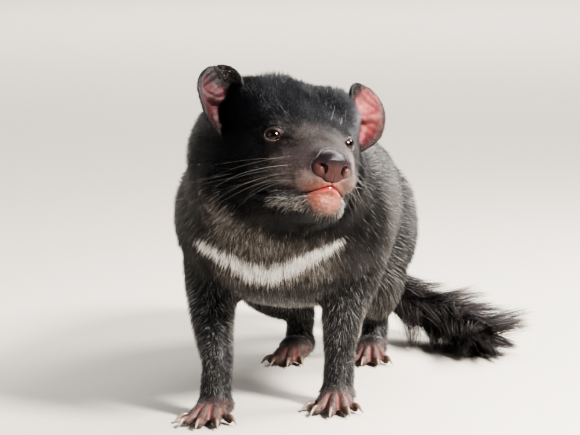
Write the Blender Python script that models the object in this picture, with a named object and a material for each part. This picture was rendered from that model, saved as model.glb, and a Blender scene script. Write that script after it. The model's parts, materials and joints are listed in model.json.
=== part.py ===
"""A Tasmanian devil, life size, standing with its head turned: one closed solid for each part of the body.

Metres, +Z up. The breast points towards -Y, the animal's left is +X and the soles stand on Z = 0.
Sizes are taken over the coat, and the head has a frame of its own, with the nose towards its -Y.
"""

import itertools
import math
import random

import bmesh
import bpy
import numpy as np
from mathutils import Matrix, Vector

GAP = 0.0003  # between solids that meet
GOLDEN_TURN = math.pi * (3 - math.sqrt(5))
MERGE_LIMITS = (0.00001, 0.000002, 0.0000002)  # tried in turn
SHARP_ANGLE = math.radians(40)

# How each rounded form is made: size of its voxels, rounds of smoothing, triangles aimed at
HEAD_FLESH = (0.0024, 12, 3900)
BODY_FLESH = (0.0038, 8, 2560)
PAW_FLESH = (0.0013, 4, 660)
NOSE_FLESH = (0.0011, 3, 340)
LEG_REGION_FLESH = (0.005, 3, 420)

# Trunk
TRUNK_FRONT = -0.104
TRUNK_BACK = 0.340
TRUNK_HALF_WIDTH = 0.097
BACK_RISE = 0.083  # from the trunk's own line up to the back
BELLY_DROP = 0.076  # and down to the belly
SHOULDER_LINE = 0.171  # height of the trunk's line at the shoulders
RUMP_LINE = 0.147  # and at the root of the tail

# Head: its frame starts at nose level, NOSE_REACH behind the tip of the nose
HEAD_AT = Vector((0.0330, -0.1265, 0.2300))
HEAD_TURN = math.radians(33)
HEAD_RISE = math.radians(3)
HEAD_TILT = math.radians(8.5)
NOSE_REACH = 0.085
HEAD_LENGTH = 0.175
HEAD_HALF_WIDTH = 0.071
CROWN_RISE = 0.070  # from nose level
JAW_DROP = 0.058

EYE_RADIUS = 0.0078
EYE_AT = Vector((0.0325, -0.024, 0.0195))  # the left eye, in the head's frame
EYE_TURN = math.radians(33)
EYE_RISE = math.radians(10)
LID_OPENING = (0.0062, 0.0049)
LID_THICK = 0.0016

EAR_AT = Vector((0.0545, 0.0130, 0.0180))  # the root of the left ear, in the head's frame
EAR_HEIGHT = 0.060
EAR_HALF_WIDTH = 0.0225
EAR_CUP = 0.0215  # radius of the cup across the ear
EAR_WALL = 0.0030
EAR_LEAN = math.radians(16)  # outwards from upright
EAR_BACK = math.radians(8)
EAR_TURN = math.radians(3)  # of the opening, outwards from the front

NOSE_HALF_WIDTH = 0.0148
NOSE_HALF_HEIGHT = 0.0125
NOSE_DEPTH = 0.013

MOUTH_FRONT = Vector((0.0, -0.0790, -0.0205))  # in the head's frame
MOUTH_CORNER = Vector((0.036, -0.0130, -0.0280))
MOUTH_GAP = 0.0014
MOUTH_OUTSIDE, MOUTH_INSIDE = 1.45, 0.70  # how far the slit reaches, as shares of its line's distance
MOUTH_FLARE = (1.3, 0.45)  # the slit's height outside and inside, as shares of the gap

# Rounded masses on both sides of the head, in its frame: centre, radii and degrees turned outwards
HEAD_PAIRS = {
    "whisker_pad": ((0.0150, -0.0620, -0.0105), (0.0125, 0.0160, 0.0115), 20),
    "brow": ((0.0270, -0.0200, 0.0262), (0.0140, 0.0170, 0.0085), 35),
    "cheek": ((0.0300, -0.0040, -0.0080), (0.0180, 0.0300, 0.0180), 25),
    "mouth_corner": ((0.0360, 0.0060, -0.0270), (0.0160, 0.0240, 0.0150), 0),
    "jaw_muscle": ((0.0480, 0.0300, -0.0200), (0.0230, 0.0330, 0.0330), 0),
    "ear_root": ((0.0460, 0.0300, 0.0240), (0.0170, 0.0180, 0.0190), 0),
    "temple": ((0.0365, 0.0260, 0.0395), (0.0270, 0.0360, 0.0282), 0),
}

# Feet: x, y of the middle of each palm and the way it points, outwards from -Y
FEET = {
    "fore_right": (-0.044, -0.098, math.radians(6)),
    "fore_left": (0.054, -0.030, math.radians(2)),
    "hind_right": (-0.024, 0.196, math.radians(10)),
    "hind_left": (0.050, 0.212, math.radians(8)),
}
WRIST_HEIGHT = 0.034
UNDER_BACK = 0.27  # the feet are parted from the legs as far back as this
SOLE_SINK = 0.0011  # how much of each rounded pad the floor flattens

# Toes: angle from the foot's line, outwards, then length from the palm's middle and radius
FORE_TOES = ((43, 0.0285, 0.0042), (20, 0.0395, 0.0047), (0, 0.0425, 0.0049), (-21, 0.0390, 0.0047),
             (-48, 0.0275, 0.0041))
HIND_TOES = ((31, 0.0310, 0.0044), (10, 0.0365, 0.0048), (-11, 0.0360, 0.0048), (-32, 0.0295, 0.0043))
CLAW_LENGTH = 0.0135
CLAW_RADIUS = 0.0024

# Tail, from its root to the tip of its last hair
TAIL_LINE = (
    (0.002, 0.314, 0.160),
    (0.006, 0.345, 0.134),
    (0.014, 0.358, 0.101),
    (0.032, 0.357, 0.069),
    (0.060, 0.345, 0.045),
    (0.090, 0.328, 0.032),
    (0.118, 0.307, 0.024),
    (0.144, 0.282, 0.017),
)
TAIL_RADII = (0.028, 0.020, 0.0150, 0.0130, 0.0115, 0.0090, 0.0060, 0.0030)

# Locks of the brush, two bundles that lean apart, rooted in a spiral along the tail
LOCKS = 44
LOCK_SEED = 5
LOCK_START = 0.24  # share of the tail's length where they begin
LOCK_LENGTHS = (0.038, 0.064)  # at the start and at the tip
LOCK_HALF_WIDTH = 0.0054
LOCK_HALF_THICK = 0.0017
LOCK_TIP = 0.0005
LOCK_SINK = 0.35  # how deep the roots lie, as a share of the tail's radius
LOCK_SPREAD = math.radians(22)
BUNDLE_LEANS = (Vector((0.34, 0.02, 0.07)), Vector((-0.12, -0.62, -0.03)))
FLOOR_CLEAR = 0.004

# Planes that part the tail and the neck from the trunk
TAIL_CUT = (0, 0.310, 0.150)
TAIL_CUT_TILT = math.radians(-38)
BRUSH_CUT = (0, 0.352, 0.110)  # between the tail's bare root and its brush
BRUSH_CUT_TILT = math.radians(-66)
NECK_CUT = (0, -0.030, 0.195)
NECK_CUT_TILT = math.radians(-32)
NECK_CUT_BELOW = 0.05
CUT_HALF = 0.30
FAR = 1.0  # beyond the animal on every side
HEAD_LOW = Vector((-0.12, -0.12, -0.066))  # corners of the block that parts the head off, in its frame
HEAD_HIGH = Vector((0.12, 0.066, 0.12))
LEG_CUT_GROWTH = 1.22  # how much fatter than the leg the tube is that parts it from the trunk

COLOURS = {
    "coat": ((0.030, 0.028, 0.027, 1.0), 0.62),
    "nose_leather": ((0.085, 0.040, 0.036, 1.0), 0.30),
    "ear_skin": ((0.420, 0.130, 0.120, 1.0), 0.50),
    "eye": ((0.020, 0.010, 0.007, 1.0), 0.08),
    "foot_skin": ((0.190, 0.110, 0.095, 1.0), 0.60),
    "claw": ((0.560, 0.430, 0.330, 1.0), 0.40),
    "tail_hair": ((0.050, 0.030, 0.026, 1.0), 0.60),
}


def clear_scene():
    for obj in list(bpy.data.objects):
        bpy.data.objects.remove(obj, do_unlink=True)


def head_frame():
    """Places the head's frame: turned to the animal's left, nose up a little, head tilted to that side."""
    turn = Matrix.Rotation(HEAD_TURN, 4, "Z")
    rise = Matrix.Rotation(-HEAD_RISE, 4, "X")
    tilt = Matrix.Rotation(HEAD_TILT, 4, "Y")
    return Matrix.Translation(HEAD_AT) @ turn @ rise @ tilt


def material(name):
    found = bpy.data.materials.get(name)
    if found:
        return found
    colour, roughness = COLOURS[name]
    made = bpy.data.materials.new(name)
    made.use_nodes = True
    shader = made.node_tree.nodes["Principled BSDF"]
    shader.inputs["Base Color"].default_value = colour
    shader.inputs["Roughness"].default_value = roughness
    shader.inputs["Metallic"].default_value = 0.0
    made.diffuse_color = colour
    return made


def through(rows, count):
    """A smooth curve through the rows, read off at count even steps."""
    rows = np.asarray(rows, float)
    ends = np.vstack([2 * rows[0] - rows[1], rows, 2 * rows[-1] - rows[-2]])
    at = np.linspace(0, len(rows) - 1, count)
    index = np.minimum(at.astype(int), len(rows) - 2)
    u = (at - index)[:, None]
    before, start, end, after = (ends[index + step] for step in range(4))
    return 0.5 * (
        2 * start
        + (end - before) * u
        + (2 * before - 5 * start + 4 * end - after) * u**2
        + (3 * start - before - 3 * end + after) * u**3
    )


def tube(rows, across=(1, 0, 0), count=None, sides=20, power=1.0):
    """A closed tube. Each row is x, y, z, half width, half rise above the line and below it.

    across is the direction of the width. A power under 1 squares the section.
    Returns its points and faces.
    """
    rows = through(rows, count) if count else np.asarray(rows, float)
    line = rows[:, :3]
    along = np.gradient(line, axis=0)
    along /= np.linalg.norm(along, axis=1)[:, None]
    side = np.asarray(across, float) - (along @ np.asarray(across, float))[:, None] * along
    side /= np.linalg.norm(side, axis=1)[:, None]
    rise = np.cross(side, along)
    turn = np.linspace(0, 2 * math.pi, sides, endpoint=False)
    wide = np.sign(np.cos(turn)) * np.abs(np.cos(turn)) ** power
    high = np.sign(np.sin(turn)) * np.abs(np.sin(turn)) ** power
    half_rise = np.where(high > 0, rows[:, 4:5], rows[:, 5:6]) * high
    points = (
        line[:, None]
        + side[:, None] * (rows[:, 3:4] * wide)[..., None]
        + rise[:, None] * half_rise[..., None]
    )
    rings = len(rows)
    faces = [tuple(range(sides)), tuple(range((rings - 1) * sides, rings * sides))]
    for ring in range(rings - 1):
        for k in range(sides):
            a, b = ring * sides + k, ring * sides + (k + 1) % sides
            faces.append((a, b, b + sides, a + sides))
    return points.reshape(-1, 3), faces


def round_rows(rows):
    """Rows of x, y, z, half width and half depth, with the same depth on both sides of the line."""
    return [(*row, row[4]) for row in rows]


def ball(centre, radii, turn=Matrix.Identity(4), fineness=3):
    """An ellipsoid's points and faces."""
    shape = bmesh.new()
    place = Matrix.Translation(Vector(centre)) @ turn @ Matrix.Diagonal((*radii, 1))
    bmesh.ops.create_icosphere(shape, subdivisions=fineness, radius=1, matrix=place)
    points = np.array([v.co for v in shape.verts])
    faces = [tuple(v.index for v in f.verts) for f in shape.faces]
    shape.free()
    return points, faces


def block(place, low, high):
    """A box between two corners of the frame that place gives."""
    corners = [place @ Vector(at) for at in itertools.product(*zip(low, high))]
    faces = [(0, 1, 3, 2), (4, 6, 7, 5), (0, 4, 5, 1), (2, 3, 7, 6), (0, 2, 6, 4), (1, 5, 7, 3)]
    return np.array(corners), faces


def placed(shape, frame):
    """The shape's points carried by a frame."""
    points, faces = shape
    turned = np.array(frame)
    return points @ turned[:3, :3].T + turned[:3, 3], faces


def mesh_of(name, shapes):
    """One mesh of several closed shapes, with the faces of each pointing out."""
    shape = bmesh.new()
    for points, faces in shapes:
        verts = [shape.verts.new(p) for p in points]
        for face in faces:
            shape.faces.new([verts[k] for k in face])
    bmesh.ops.remove_doubles(shape, verts=shape.verts, dist=MERGE_LIMITS[0])
    bmesh.ops.recalc_face_normals(shape, faces=shape.faces)
    mesh = bpy.data.meshes.new(name)
    shape.to_mesh(mesh)
    shape.free()
    return mesh


def helper(mesh):
    """An object for a mesh that is still being worked on."""
    obj = bpy.data.objects.new(mesh.name, mesh)
    bpy.context.scene.collection.objects.link(obj)
    return obj


def evaluated(obj):
    """The mesh that the object's modifiers make. The object goes."""
    bpy.context.view_layer.update()
    graph = bpy.context.evaluated_depsgraph_get()
    mesh = bpy.data.meshes.new_from_object(obj.evaluated_get(graph))
    bpy.data.objects.remove(obj, do_unlink=True)
    return mesh


def merged(mesh):
    """The mesh in triangles, with points closer than a sliver made one, as far as it stays closed."""
    for limit in MERGE_LIMITS:
        shape = bmesh.new()
        shape.from_mesh(mesh)
        bmesh.ops.triangulate(shape, faces=shape.faces)
        bmesh.ops.remove_doubles(shape, verts=shape.verts, dist=limit)
        bmesh.ops.dissolve_degenerate(shape, edges=shape.edges, dist=limit)
        bmesh.ops.triangulate(shape, faces=shape.faces)
        if all(edge.is_manifold for edge in shape.edges):
            return shape
        shape.free()
    shape = bmesh.new()
    shape.from_mesh(mesh)
    bmesh.ops.triangulate(shape, faces=shape.faces)
    return shape


def largest(mesh):
    """The mesh with only its largest closed surface, in triangles."""
    shape = merged(mesh)
    left = set(shape.faces)
    islands = []
    while left:
        seed = left.pop()
        island, front = {seed}, [seed]
        while front:
            near = {face for edge in front.pop().edges for face in edge.link_faces} & left
            left -= near
            island |= near
            front.extend(near)
        islands.append(island)
    islands.sort(key=len)
    for island in islands[:-1]:
        bmesh.ops.delete(shape, geom=list(island), context="FACES")
    shape.to_mesh(mesh)
    shape.free()
    return mesh


def flesh(name, shapes, voxel, rounds, triangles):
    """Rounds several closed shapes into one smooth surface of about that many triangles."""
    obj = helper(mesh_of(name, shapes))
    remesh = obj.modifiers.new("Remesh", "REMESH")
    remesh.mode = "VOXEL"
    remesh.voxel_size = voxel
    smooth = obj.modifiers.new("Smooth", "SMOOTH")
    smooth.factor = 0.5
    smooth.iterations = rounds
    obj = helper(evaluated(obj))
    decimate = obj.modifiers.new("Decimate", "DECIMATE")
    decimate.ratio = min(1.0, triangles / (2 * len(obj.data.polygons)))
    decimate.use_collapse_triangulate = True
    return largest(evaluated(obj))


def combine(mesh, others, operation):
    """A Boolean of the mesh with several closed meshes at once."""
    obj = helper(mesh)
    group = bpy.data.collections.new("tools")
    bpy.context.scene.collection.children.link(group)
    for other in others:
        group.objects.link(bpy.data.objects.new(other.name, other))
    cut = obj.modifiers.new("Boolean", "BOOLEAN")
    cut.operation = operation
    cut.solver = "MANIFOLD"
    cut.operand_type = "COLLECTION"
    cut.collection = group
    made = evaluated(obj)
    for tool in list(group.objects):
        bpy.data.objects.remove(tool, do_unlink=True)
    bpy.data.collections.remove(group)
    return largest(made)


def grown(mesh, by=GAP):
    """A copy of the mesh with its surface moved out by that much."""
    shape = bmesh.new()
    shape.from_mesh(mesh)
    shape.normal_update()
    moved = [(v, v.co + v.normal * by * v.calc_shell_factor()) for v in shape.verts]
    for vert, point in moved:
        vert.co = point
    copy = bpy.data.meshes.new(mesh.name + "_grown")
    shape.to_mesh(copy)
    shape.free()
    return copy


def node(name, mesh, slot):
    """The finished part of the body under its name."""
    mesh.name = name
    mesh.materials.clear()
    mesh.materials.append(material(slot))
    mesh.shade_smooth()
    mesh.set_sharp_from_angle(angle=SHARP_ANGLE)
    obj = bpy.data.objects.new(name, mesh)
    bpy.context.scene.collection.objects.link(obj)
    return obj


def split(mesh, region):
    """What of the mesh lies in the region, and the rest with the gap between them."""
    inside = combine(mesh.copy(), [region.copy()], "INTERSECT")
    return inside, combine(mesh, [grown(region)], "DIFFERENCE")


def trunk():
    """Sections from the breast to the rump: shares of the length, the width, the rise and the drop."""
    sections = (
        (0.00, 0.34, 0.40, 0.46),
        (0.03, 0.60, 0.62, 0.68),
        (0.10, 0.84, 0.80, 0.90),
        (0.20, 1.00, 0.96, 1.08),
        (0.34, 0.99, 1.00, 1.20),
        (0.48, 0.92, 1.00, 1.22),
        (0.63, 0.86, 0.98, 1.12),
        (0.76, 0.80, 0.90, 0.92),
        (0.88, 0.67, 0.73, 0.64),
        (0.96, 0.44, 0.47, 0.41),
        (1.00, 0.22, 0.25, 0.22),
    )
    rows = []
    for share, wide, up, down in sections:
        line = SHOULDER_LINE + (RUMP_LINE - SHOULDER_LINE) * max(0.0, share - 0.3) / 0.7
        breast_lift = 0.008 * max(0.0, 1 - share / 0.15)
        rows.append(
            (
                0.0,
                TRUNK_FRONT + share * (TRUNK_BACK - TRUNK_FRONT),
                line - breast_lift,
                wide * TRUNK_HALF_WIDTH,
                up * BACK_RISE,
                down * BELLY_DROP,
            )
        )
    return tube(rows, count=31, sides=28, power=0.94)


def neck():
    rows = (
        (0.000, 0.030, 0.180, 0.086, 0.078),
        (0.002, -0.025, 0.192, 0.085, 0.076),
        (0.009, -0.068, 0.208, 0.080, 0.072),
        (0.020, -0.105, 0.224, 0.070, 0.061),
    )
    return tube(round_rows(rows), count=12, sides=28)


def skull():
    """The head above and behind the mouth, from the lip under the nose to the back of the skull.

    Sections: share of the head's length, then of its half width, of the crown's rise and of the jaw's drop.
    """
    sections = (
        (0.030, 0.190, 0.170, 0.310),
        (0.075, 0.290, 0.215, 0.370),
        (0.150, 0.390, 0.285, 0.415),
        (0.230, 0.475, 0.365, 0.465),
        (0.320, 0.590, 0.470, 0.535),
        (0.410, 0.730, 0.645, 0.640),
        (0.510, 0.875, 0.830, 0.760),
        (0.620, 0.970, 0.955, 0.860),
        (0.740, 1.000, 1.000, 0.950),
        (0.870, 0.985, 0.955, 1.000),
        (1.000, 0.930, 0.830, 0.965),
    )
    rows = []
    for share, wide, up, down in sections:
        y = share * HEAD_LENGTH - NOSE_REACH
        rows.append((0.0, y, 0.0, wide * HEAD_HALF_WIDTH, up * CROWN_RISE, down * JAW_DROP))
    return tube(rows, count=30, sides=32, power=0.93)


def lower_jaw():
    """From the chin to the angle of the jaw: share of the head's length, height, half width, half height."""
    sections = (
        (0.045, -0.0310, 0.0090, 0.0070),
        (0.075, -0.0315, 0.0145, 0.0105),
        (0.150, -0.0325, 0.0225, 0.0125),
        (0.280, -0.0345, 0.0320, 0.0150),
        (0.430, -0.0380, 0.0415, 0.0175),
        (0.600, -0.0420, 0.0480, 0.0200),
        (0.750, -0.0430, 0.0500, 0.0200),
    )
    rows = [
        (0.0, share * HEAD_LENGTH - NOSE_REACH, height, wide, half, half)
        for share, height, wide, half in sections
    ]
    return tube(rows, count=18, sides=24, power=0.9)


def both_sides(centre, radii, turn=0.0):
    """A pair of ellipsoids, mirrored across the head's middle and turned outwards."""
    x, y, z = centre
    return [
        ball((side * x, y, z), radii, Matrix.Rotation(side * turn, 4, "Z")) for side in (-1, 1)
    ]


def head_forms():
    """The head's rounded masses, in its own frame."""
    forms = [skull(), lower_jaw()]
    for centre, radii, turn in HEAD_PAIRS.values():
        forms += both_sides(centre, radii, math.radians(turn))
    return forms


def eye_frame(side):
    """Looks outwards and a little up; side is 1 on the left. The lids open across its -Y."""
    x, y, z = EYE_AT
    turn = Matrix.Rotation(side * EYE_TURN, 4, "Z") @ Matrix.Rotation(-EYE_RISE, 4, "X")
    return head_frame() @ Matrix.Translation((side * x, y, z)) @ turn


def lid(side):
    """The rim of the lids, a ring laid round the front of the eyeball."""
    across, high = LID_OPENING
    turn = np.linspace(0, 2 * math.pi, 28, endpoint=False)
    x, z = across * np.cos(turn), high * np.sin(turn)
    y = -np.sqrt((EYE_RADIUS + 0.0006) ** 2 - x**2 - z**2)
    ring = np.stack([x, y, z], 1)
    outward = ring / np.linalg.norm(ring, axis=1)[:, None]
    flat = np.stack([x / across**2, np.zeros_like(x), z / high**2], 1)
    flat /= np.linalg.norm(flat, axis=1)[:, None]
    sides = 6
    points, faces = [], []
    for k in range(sides):
        bend = 2 * math.pi * k / sides
        points.append(
            ring
            + flat * (LID_THICK * (0.9 + math.cos(bend)))
            + outward * (LID_THICK * 0.75 * math.sin(bend))
        )
    points = np.stack(points, 1).reshape(-1, 3)
    count = len(turn)
    for a in range(count):
        for k in range(sides):
            b, n = (a + 1) % count, (k + 1) % sides
            faces.append((a * sides + k, a * sides + n, b * sides + n, b * sides + k))
    return placed((points, faces), eye_frame(side))


def mouth_groove():
    """A thin bent slit between the lips, from corner to corner."""
    rows = []
    for share in np.linspace(-1, 1, 17):
        reach = abs(share)
        bow = math.sin(reach * math.pi) * 0.0016
        x = math.copysign(MOUTH_CORNER.x * math.sin(reach * math.pi / 2) ** 0.9, share) if share else 0.0
        y = MOUTH_FRONT.y + (MOUTH_CORNER.y - MOUTH_FRONT.y) * (1 - math.cos(reach * math.pi / 2))
        z = MOUTH_FRONT.z + (MOUTH_CORNER.z - MOUTH_FRONT.z) * reach - bow
        rows.append((x * 1.10, y - 0.004 * (1 - reach), z))
    points, faces = [], []
    for x, y, z in rows:
        for depth, flare in zip((MOUTH_OUTSIDE, MOUTH_INSIDE), MOUTH_FLARE):
            for up in (-1, 1):
                points.append((x * depth, y * depth, z + up * flare * MOUTH_GAP / 2))
    for k in range(len(rows) - 1):
        a, b = 4 * k, 4 * k + 4
        faces += [(a, a + 1, b + 1, b), (a + 1, a + 3, b + 3, b + 1), (a + 3, a + 2, b + 2, b + 3),
                  (a + 2, a, b, b + 2)]
    last = 4 * (len(rows) - 1)
    faces += [(0, 2, 3, 1), (last, last + 1, last + 3, last + 2)]
    return placed((np.array(points), faces), head_frame())


def nose_forms():
    """The leather of the nose: a dome over a flatter front, and the wings of the nostrils."""
    wide, high, deep = NOSE_HALF_WIDTH, NOSE_HALF_HEIGHT, NOSE_DEPTH
    forms = [
        ball((0, -NOSE_REACH + deep - 0.001, 0.0010), (wide * 0.86, deep, high * 0.95)),
        ball((0, -NOSE_REACH + deep - 0.002, -0.0050), (wide * 0.60, deep * 0.86, high * 0.80)),
    ]
    forms += both_sides((0.0080, -NOSE_REACH + deep, -0.0008), (0.0072, 0.0112, 0.0085), math.radians(20))
    return forms


def nostril_cutters(side):
    """A comma that opens to the front and runs back along the side of the nose."""
    rows = (
        (side * 0.0052, -NOSE_REACH - 0.0040, -0.0010, 0.0014, 0.0024),
        (side * 0.0062, -NOSE_REACH + 0.0020, -0.0008, 0.0017, 0.0027),
        (side * 0.0090, -NOSE_REACH + 0.0060, 0.0006, 0.0013, 0.0022),
    )
    slit = (
        (side * 0.0060, -NOSE_REACH - 0.0010, 0.0016, 0.0009, 0.0014),
        (side * 0.0120, -NOSE_REACH + 0.0010, 0.0034, 0.0009, 0.0012),
        (side * 0.0180, -NOSE_REACH + 0.0070, 0.0030, 0.0008, 0.0010),
    )
    return [
        mesh_of("nostril", [placed(tube(round_rows(rows), sides=10, count=5), head_frame())]),
        mesh_of("slit", [placed(tube(round_rows(slit), across=(0, 0, 1), sides=8, count=5), head_frame())]),
    ]


def ear_frame(side):
    """Stands on the side of the crown, leaning out; the cup opens towards its -Y."""
    x, y, z = EAR_AT
    turn = (
        Matrix.Rotation(side * EAR_LEAN, 4, "Y")
        @ Matrix.Rotation(-EAR_BACK, 4, "X")
        @ Matrix.Rotation(side * EAR_TURN, 4, "Z")
    )
    return head_frame() @ Matrix.Translation((side * x, y, z)) @ turn


def ear_outline(v):
    """Half the ear's girth at a share v of its height: narrow at the root, round at the top."""
    root = 0.62 + 0.38 * np.sin(np.clip(v / 0.45, 0, 1) * math.pi / 2)
    top = np.sqrt(np.clip(1 - (np.clip(v - 0.45, 0, None) / 0.56) ** 2, 0, 1))
    return EAR_HALF_WIDTH * root * top * 1.22


def ear(side):
    """A thin cup: a sheet bent round the ear's axis, with the wall's thickness behind it."""
    rows, columns = 10, 9
    v = np.linspace(-0.12, 0.985, rows)[:, None]
    u = np.linspace(-1, 1, columns)[None, :]
    girth = ear_outline(np.clip(v, 0, 1)) * u
    radius = EAR_CUP * (0.80 + 0.55 * np.clip(v, 0, 1))
    angle = girth / radius
    wall = EAR_WALL * (0.55 + 0.45 * (1 - np.abs(u) ** 3)) * (1.25 - 0.55 * np.clip(v, 0, 1))
    lean = 0.006 * np.clip(v, 0, 1) ** 2
    sheets = []
    for out in (0, 1):
        reach = radius + out * wall
        x = reach * np.sin(angle)
        y = reach * np.cos(angle) - EAR_CUP * 0.62 - lean
        z = EAR_HEIGHT * v + 0 * u + out * wall * np.clip(v - 0.8, 0, 1) * 3
        sheets.append(np.stack(np.broadcast_arrays(x, y, z), -1).reshape(-1, 3))
    front = rows * columns
    faces = []
    for r in range(rows - 1):
        for c in range(columns - 1):
            a = r * columns + c
            faces.append((a, a + 1, a + columns + 1, a + columns))
            faces.append((a + front, a + columns + front, a + columns + 1 + front, a + 1 + front))
    border = (
        [c for c in range(columns)]
        + [r * columns + columns - 1 for r in range(1, rows)]
        + [(rows - 1) * columns + c for c in range(columns - 2, -1, -1)]
        + [r * columns for r in range(rows - 2, 0, -1)]
    )
    for a, b in zip(border, border[1:] + border[:1]):
        faces.append((a, b, b + front, a + front))
    return placed((np.vstack(sheets), faces), ear_frame(side))


def fore_leg(side, foot):
    """From inside the shoulder down to the wrist."""
    x, y, _ = FEET[foot]
    rows = (
        (side * 0.052, 0.006, 0.178, 0.042, 0.050),
        (side * 0.060, 0.008, 0.146, 0.036, 0.043),
        (side * 0.061, 0.012 + 0.25 * y, 0.116, 0.0275, 0.0310),
        (side * 0.056, 0.006 + 0.55 * y, 0.083, 0.0205, 0.0220),
        (x, y + 0.015, 0.050, 0.0148, 0.0155),
        (x, y + 0.011, 0.030, 0.0145, 0.0150),
        (x, y + 0.004, 0.013, 0.0145, 0.0145),
    )
    return round_rows(rows)


def hind_leg(side, foot):
    """From inside the hip over the knee and the hock down to the heel."""
    x, y, _ = FEET[foot]
    rows = (
        (side * 0.042, y + 0.030, 0.160, 0.044, 0.060),
        (side * 0.054, y + 0.000, 0.130, 0.041, 0.054),
        (side * 0.052, y - 0.018, 0.101, 0.0365, 0.0450),
        (side * 0.036 + 0.4 * x, y + 0.002, 0.074, 0.0275, 0.0325),
        (x, y + 0.032, 0.048, 0.0160, 0.0190),
        (x, y + 0.032, 0.030, 0.0142, 0.0155),
        (x, y + 0.022, 0.014, 0.0135, 0.0140),
    )
    return round_rows(rows)


def foot_frame(foot):
    """Stands on the floor under the palm, with the toes towards its -Y."""
    x, y, turn = FEET[foot]
    side = 1 if foot.endswith("left") else -1
    return Matrix.Translation((x, y, 0)) @ Matrix.Rotation(side * turn, 4, "Z")


def toe_way(foot, angle):
    """The level direction of a toe that stands at an angle outwards from the foot's own line."""
    side = 1 if foot.endswith("left") else -1
    return Vector((side * math.sin(math.radians(angle)), -math.cos(math.radians(angle))))


def toe_line(foot, toe):
    """Rows of x, y, z and radius from the palm over the knuckle to the toe's tip, in the foot's frame."""
    angle, length, radius = toe
    way = toe_way(foot, angle)
    low = radius - SOLE_SINK
    return [
        (*(way * (length * 0.12)), 0.0125, radius * 1.15),
        (*(way * (length * 0.50)), 0.0128, radius * 1.12),
        (*(way * (length * 0.78)), low + 0.0030, radius * 1.04),
        (*(way * length), low + 0.0004, radius * 0.92),
    ]


def paw_forms(foot, toes, leg_rows):
    """Palm, toes with rounded tips, and the end of the leg above them."""
    frame = foot_frame(foot)
    hind = foot.startswith("hind")
    forms = [placed(ball((0, 0.004, 0.0120), (0.0172, 0.0190, 0.0118 + SOLE_SINK)), frame)]
    if hind:
        heel = (
            (0, 0.000, 0.0110, 0.0130, 0.0110 + SOLE_SINK),
            (0, 0.018, 0.0120, 0.0125, 0.0120 + SOLE_SINK),
            (0, 0.034, 0.0150, 0.0120, 0.0150),
        )
        forms.append(placed(tube(round_rows(heel), count=8), frame))
    for toe in toes:
        line = toe_line(foot, toe)
        rows = [(*row, row[3]) for row in line]
        forms.append(placed(tube(round_rows(rows), across=(1, 0.3, 0), count=9, sides=14), frame))
        x, y, z, radius = line[-1]
        forms.append(placed(ball((x, y, z), (radius,) * 3, fineness=2), frame))
    forms.append(tube(leg_rows[-4:], count=14))
    return forms


def claw(foot, toe):
    """A curved horn on the upper front of the toe, its tip a little above the floor."""
    angle, length, _ = toe
    way = toe_way(foot, angle)
    rows = []
    for share in np.linspace(0, 1, 5):
        reach = length - 0.001 + CLAW_LENGTH * share
        height = 0.0062 + 0.0016 * math.sin(share * math.pi) - 0.0046 * share
        half = CLAW_RADIUS * (1 - share) ** 0.7 + 0.00035
        rows.append((*(way * reach), height, half * 0.72, half))
    horn = tube(round_rows(rows), across=(-way.y, way.x, 0), sides=6)
    return placed(horn, foot_frame(foot))


def tail_form():
    """The tail without its long hair, from inside the rump to the tip."""
    rows = [(*at, radius, radius) for at, radius in zip(TAIL_LINE, TAIL_RADII)]
    return tube(round_rows(rows), count=26, sides=16)


def lock(at, along, out, length, lean):
    """A flat tapered lock that leaves the tail along its lie and bends towards its bundle."""
    way = (along * math.cos(LOCK_SPREAD) + out * math.sin(LOCK_SPREAD)).normalized()
    rows = []
    for share in (0, 0.35, 0.70, 1.0):
        point = at + way * (length * share) + lean * (length * share**2)
        point.z = max(point.z, FLOOR_CLEAR)
        taper = (1 - share) ** 0.7
        rows.append((*point, LOCK_HALF_WIDTH * taper + LOCK_TIP, LOCK_HALF_THICK * taper + LOCK_TIP))
    return mesh_of("lock", [tube(round_rows(rows), across=way.cross(out), sides=4)])


def tail_locks():
    """The long hair of the tail, all round it and out past its tip."""
    draw = random.Random(LOCK_SEED)
    rows = through([(*at, radius) for at, radius in zip(TAIL_LINE, TAIL_RADII)], LOCKS * 2)
    first = int(LOCK_START * len(rows))
    places = np.linspace(first, len(rows) - 2, LOCKS).astype(int)
    locks = []
    for number, place in enumerate(places):
        share = number / (LOCKS - 1)
        along = Vector(rows[place + 1][:3] - rows[place - 1][:3]).normalized()
        turn = number * GOLDEN_TURN + draw.uniform(-0.3, 0.3)
        out = Matrix.Rotation(turn, 3, along) @ along.orthogonal().normalized()
        root = Vector(rows[place][:3]) + out * (rows[place][3] * (1 - LOCK_SINK))
        length = (LOCK_LENGTHS[0] + (LOCK_LENGTHS[1] - LOCK_LENGTHS[0]) * share) * draw.uniform(0.85, 1.15)
        lean = BUNDLE_LEANS[number % len(BUNDLE_LEANS)] * share
        locks.append(lock(root, along, out, length, lean))
    return locks


def leg_region(rows):
    """A fatter tube round a leg, which divides it from the trunk."""
    grow = LEG_CUT_GROWTH
    fat = [(x, y, z, wide * grow, deep * grow, deep * grow) for x, y, z, wide, deep, _ in rows]
    return flesh("leg_region", [tube(fat, count=16, sides=20)], *LEG_REGION_FLESH)


def cut_block(name, at, tilt, reach, below):
    """A wide block across the body that starts or ends at a tilted plane and reaches from there along Y."""
    place = Matrix.Translation(at) @ Matrix.Rotation(tilt, 4, "X")
    return mesh_of(name, [block(place, (-CUT_HALF, reach[0], -below), (CUT_HALF, reach[1], CUT_HALF))])


def above_floor(mesh):
    """The mesh with all under the floor cut away, so that it stands on flats."""
    floor = mesh_of("floor", [block(Matrix.Identity(4), (-FAR, -FAR, -FAR), (FAR, FAR, 0))])
    return combine(mesh, [floor], "DIFFERENCE")


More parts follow.
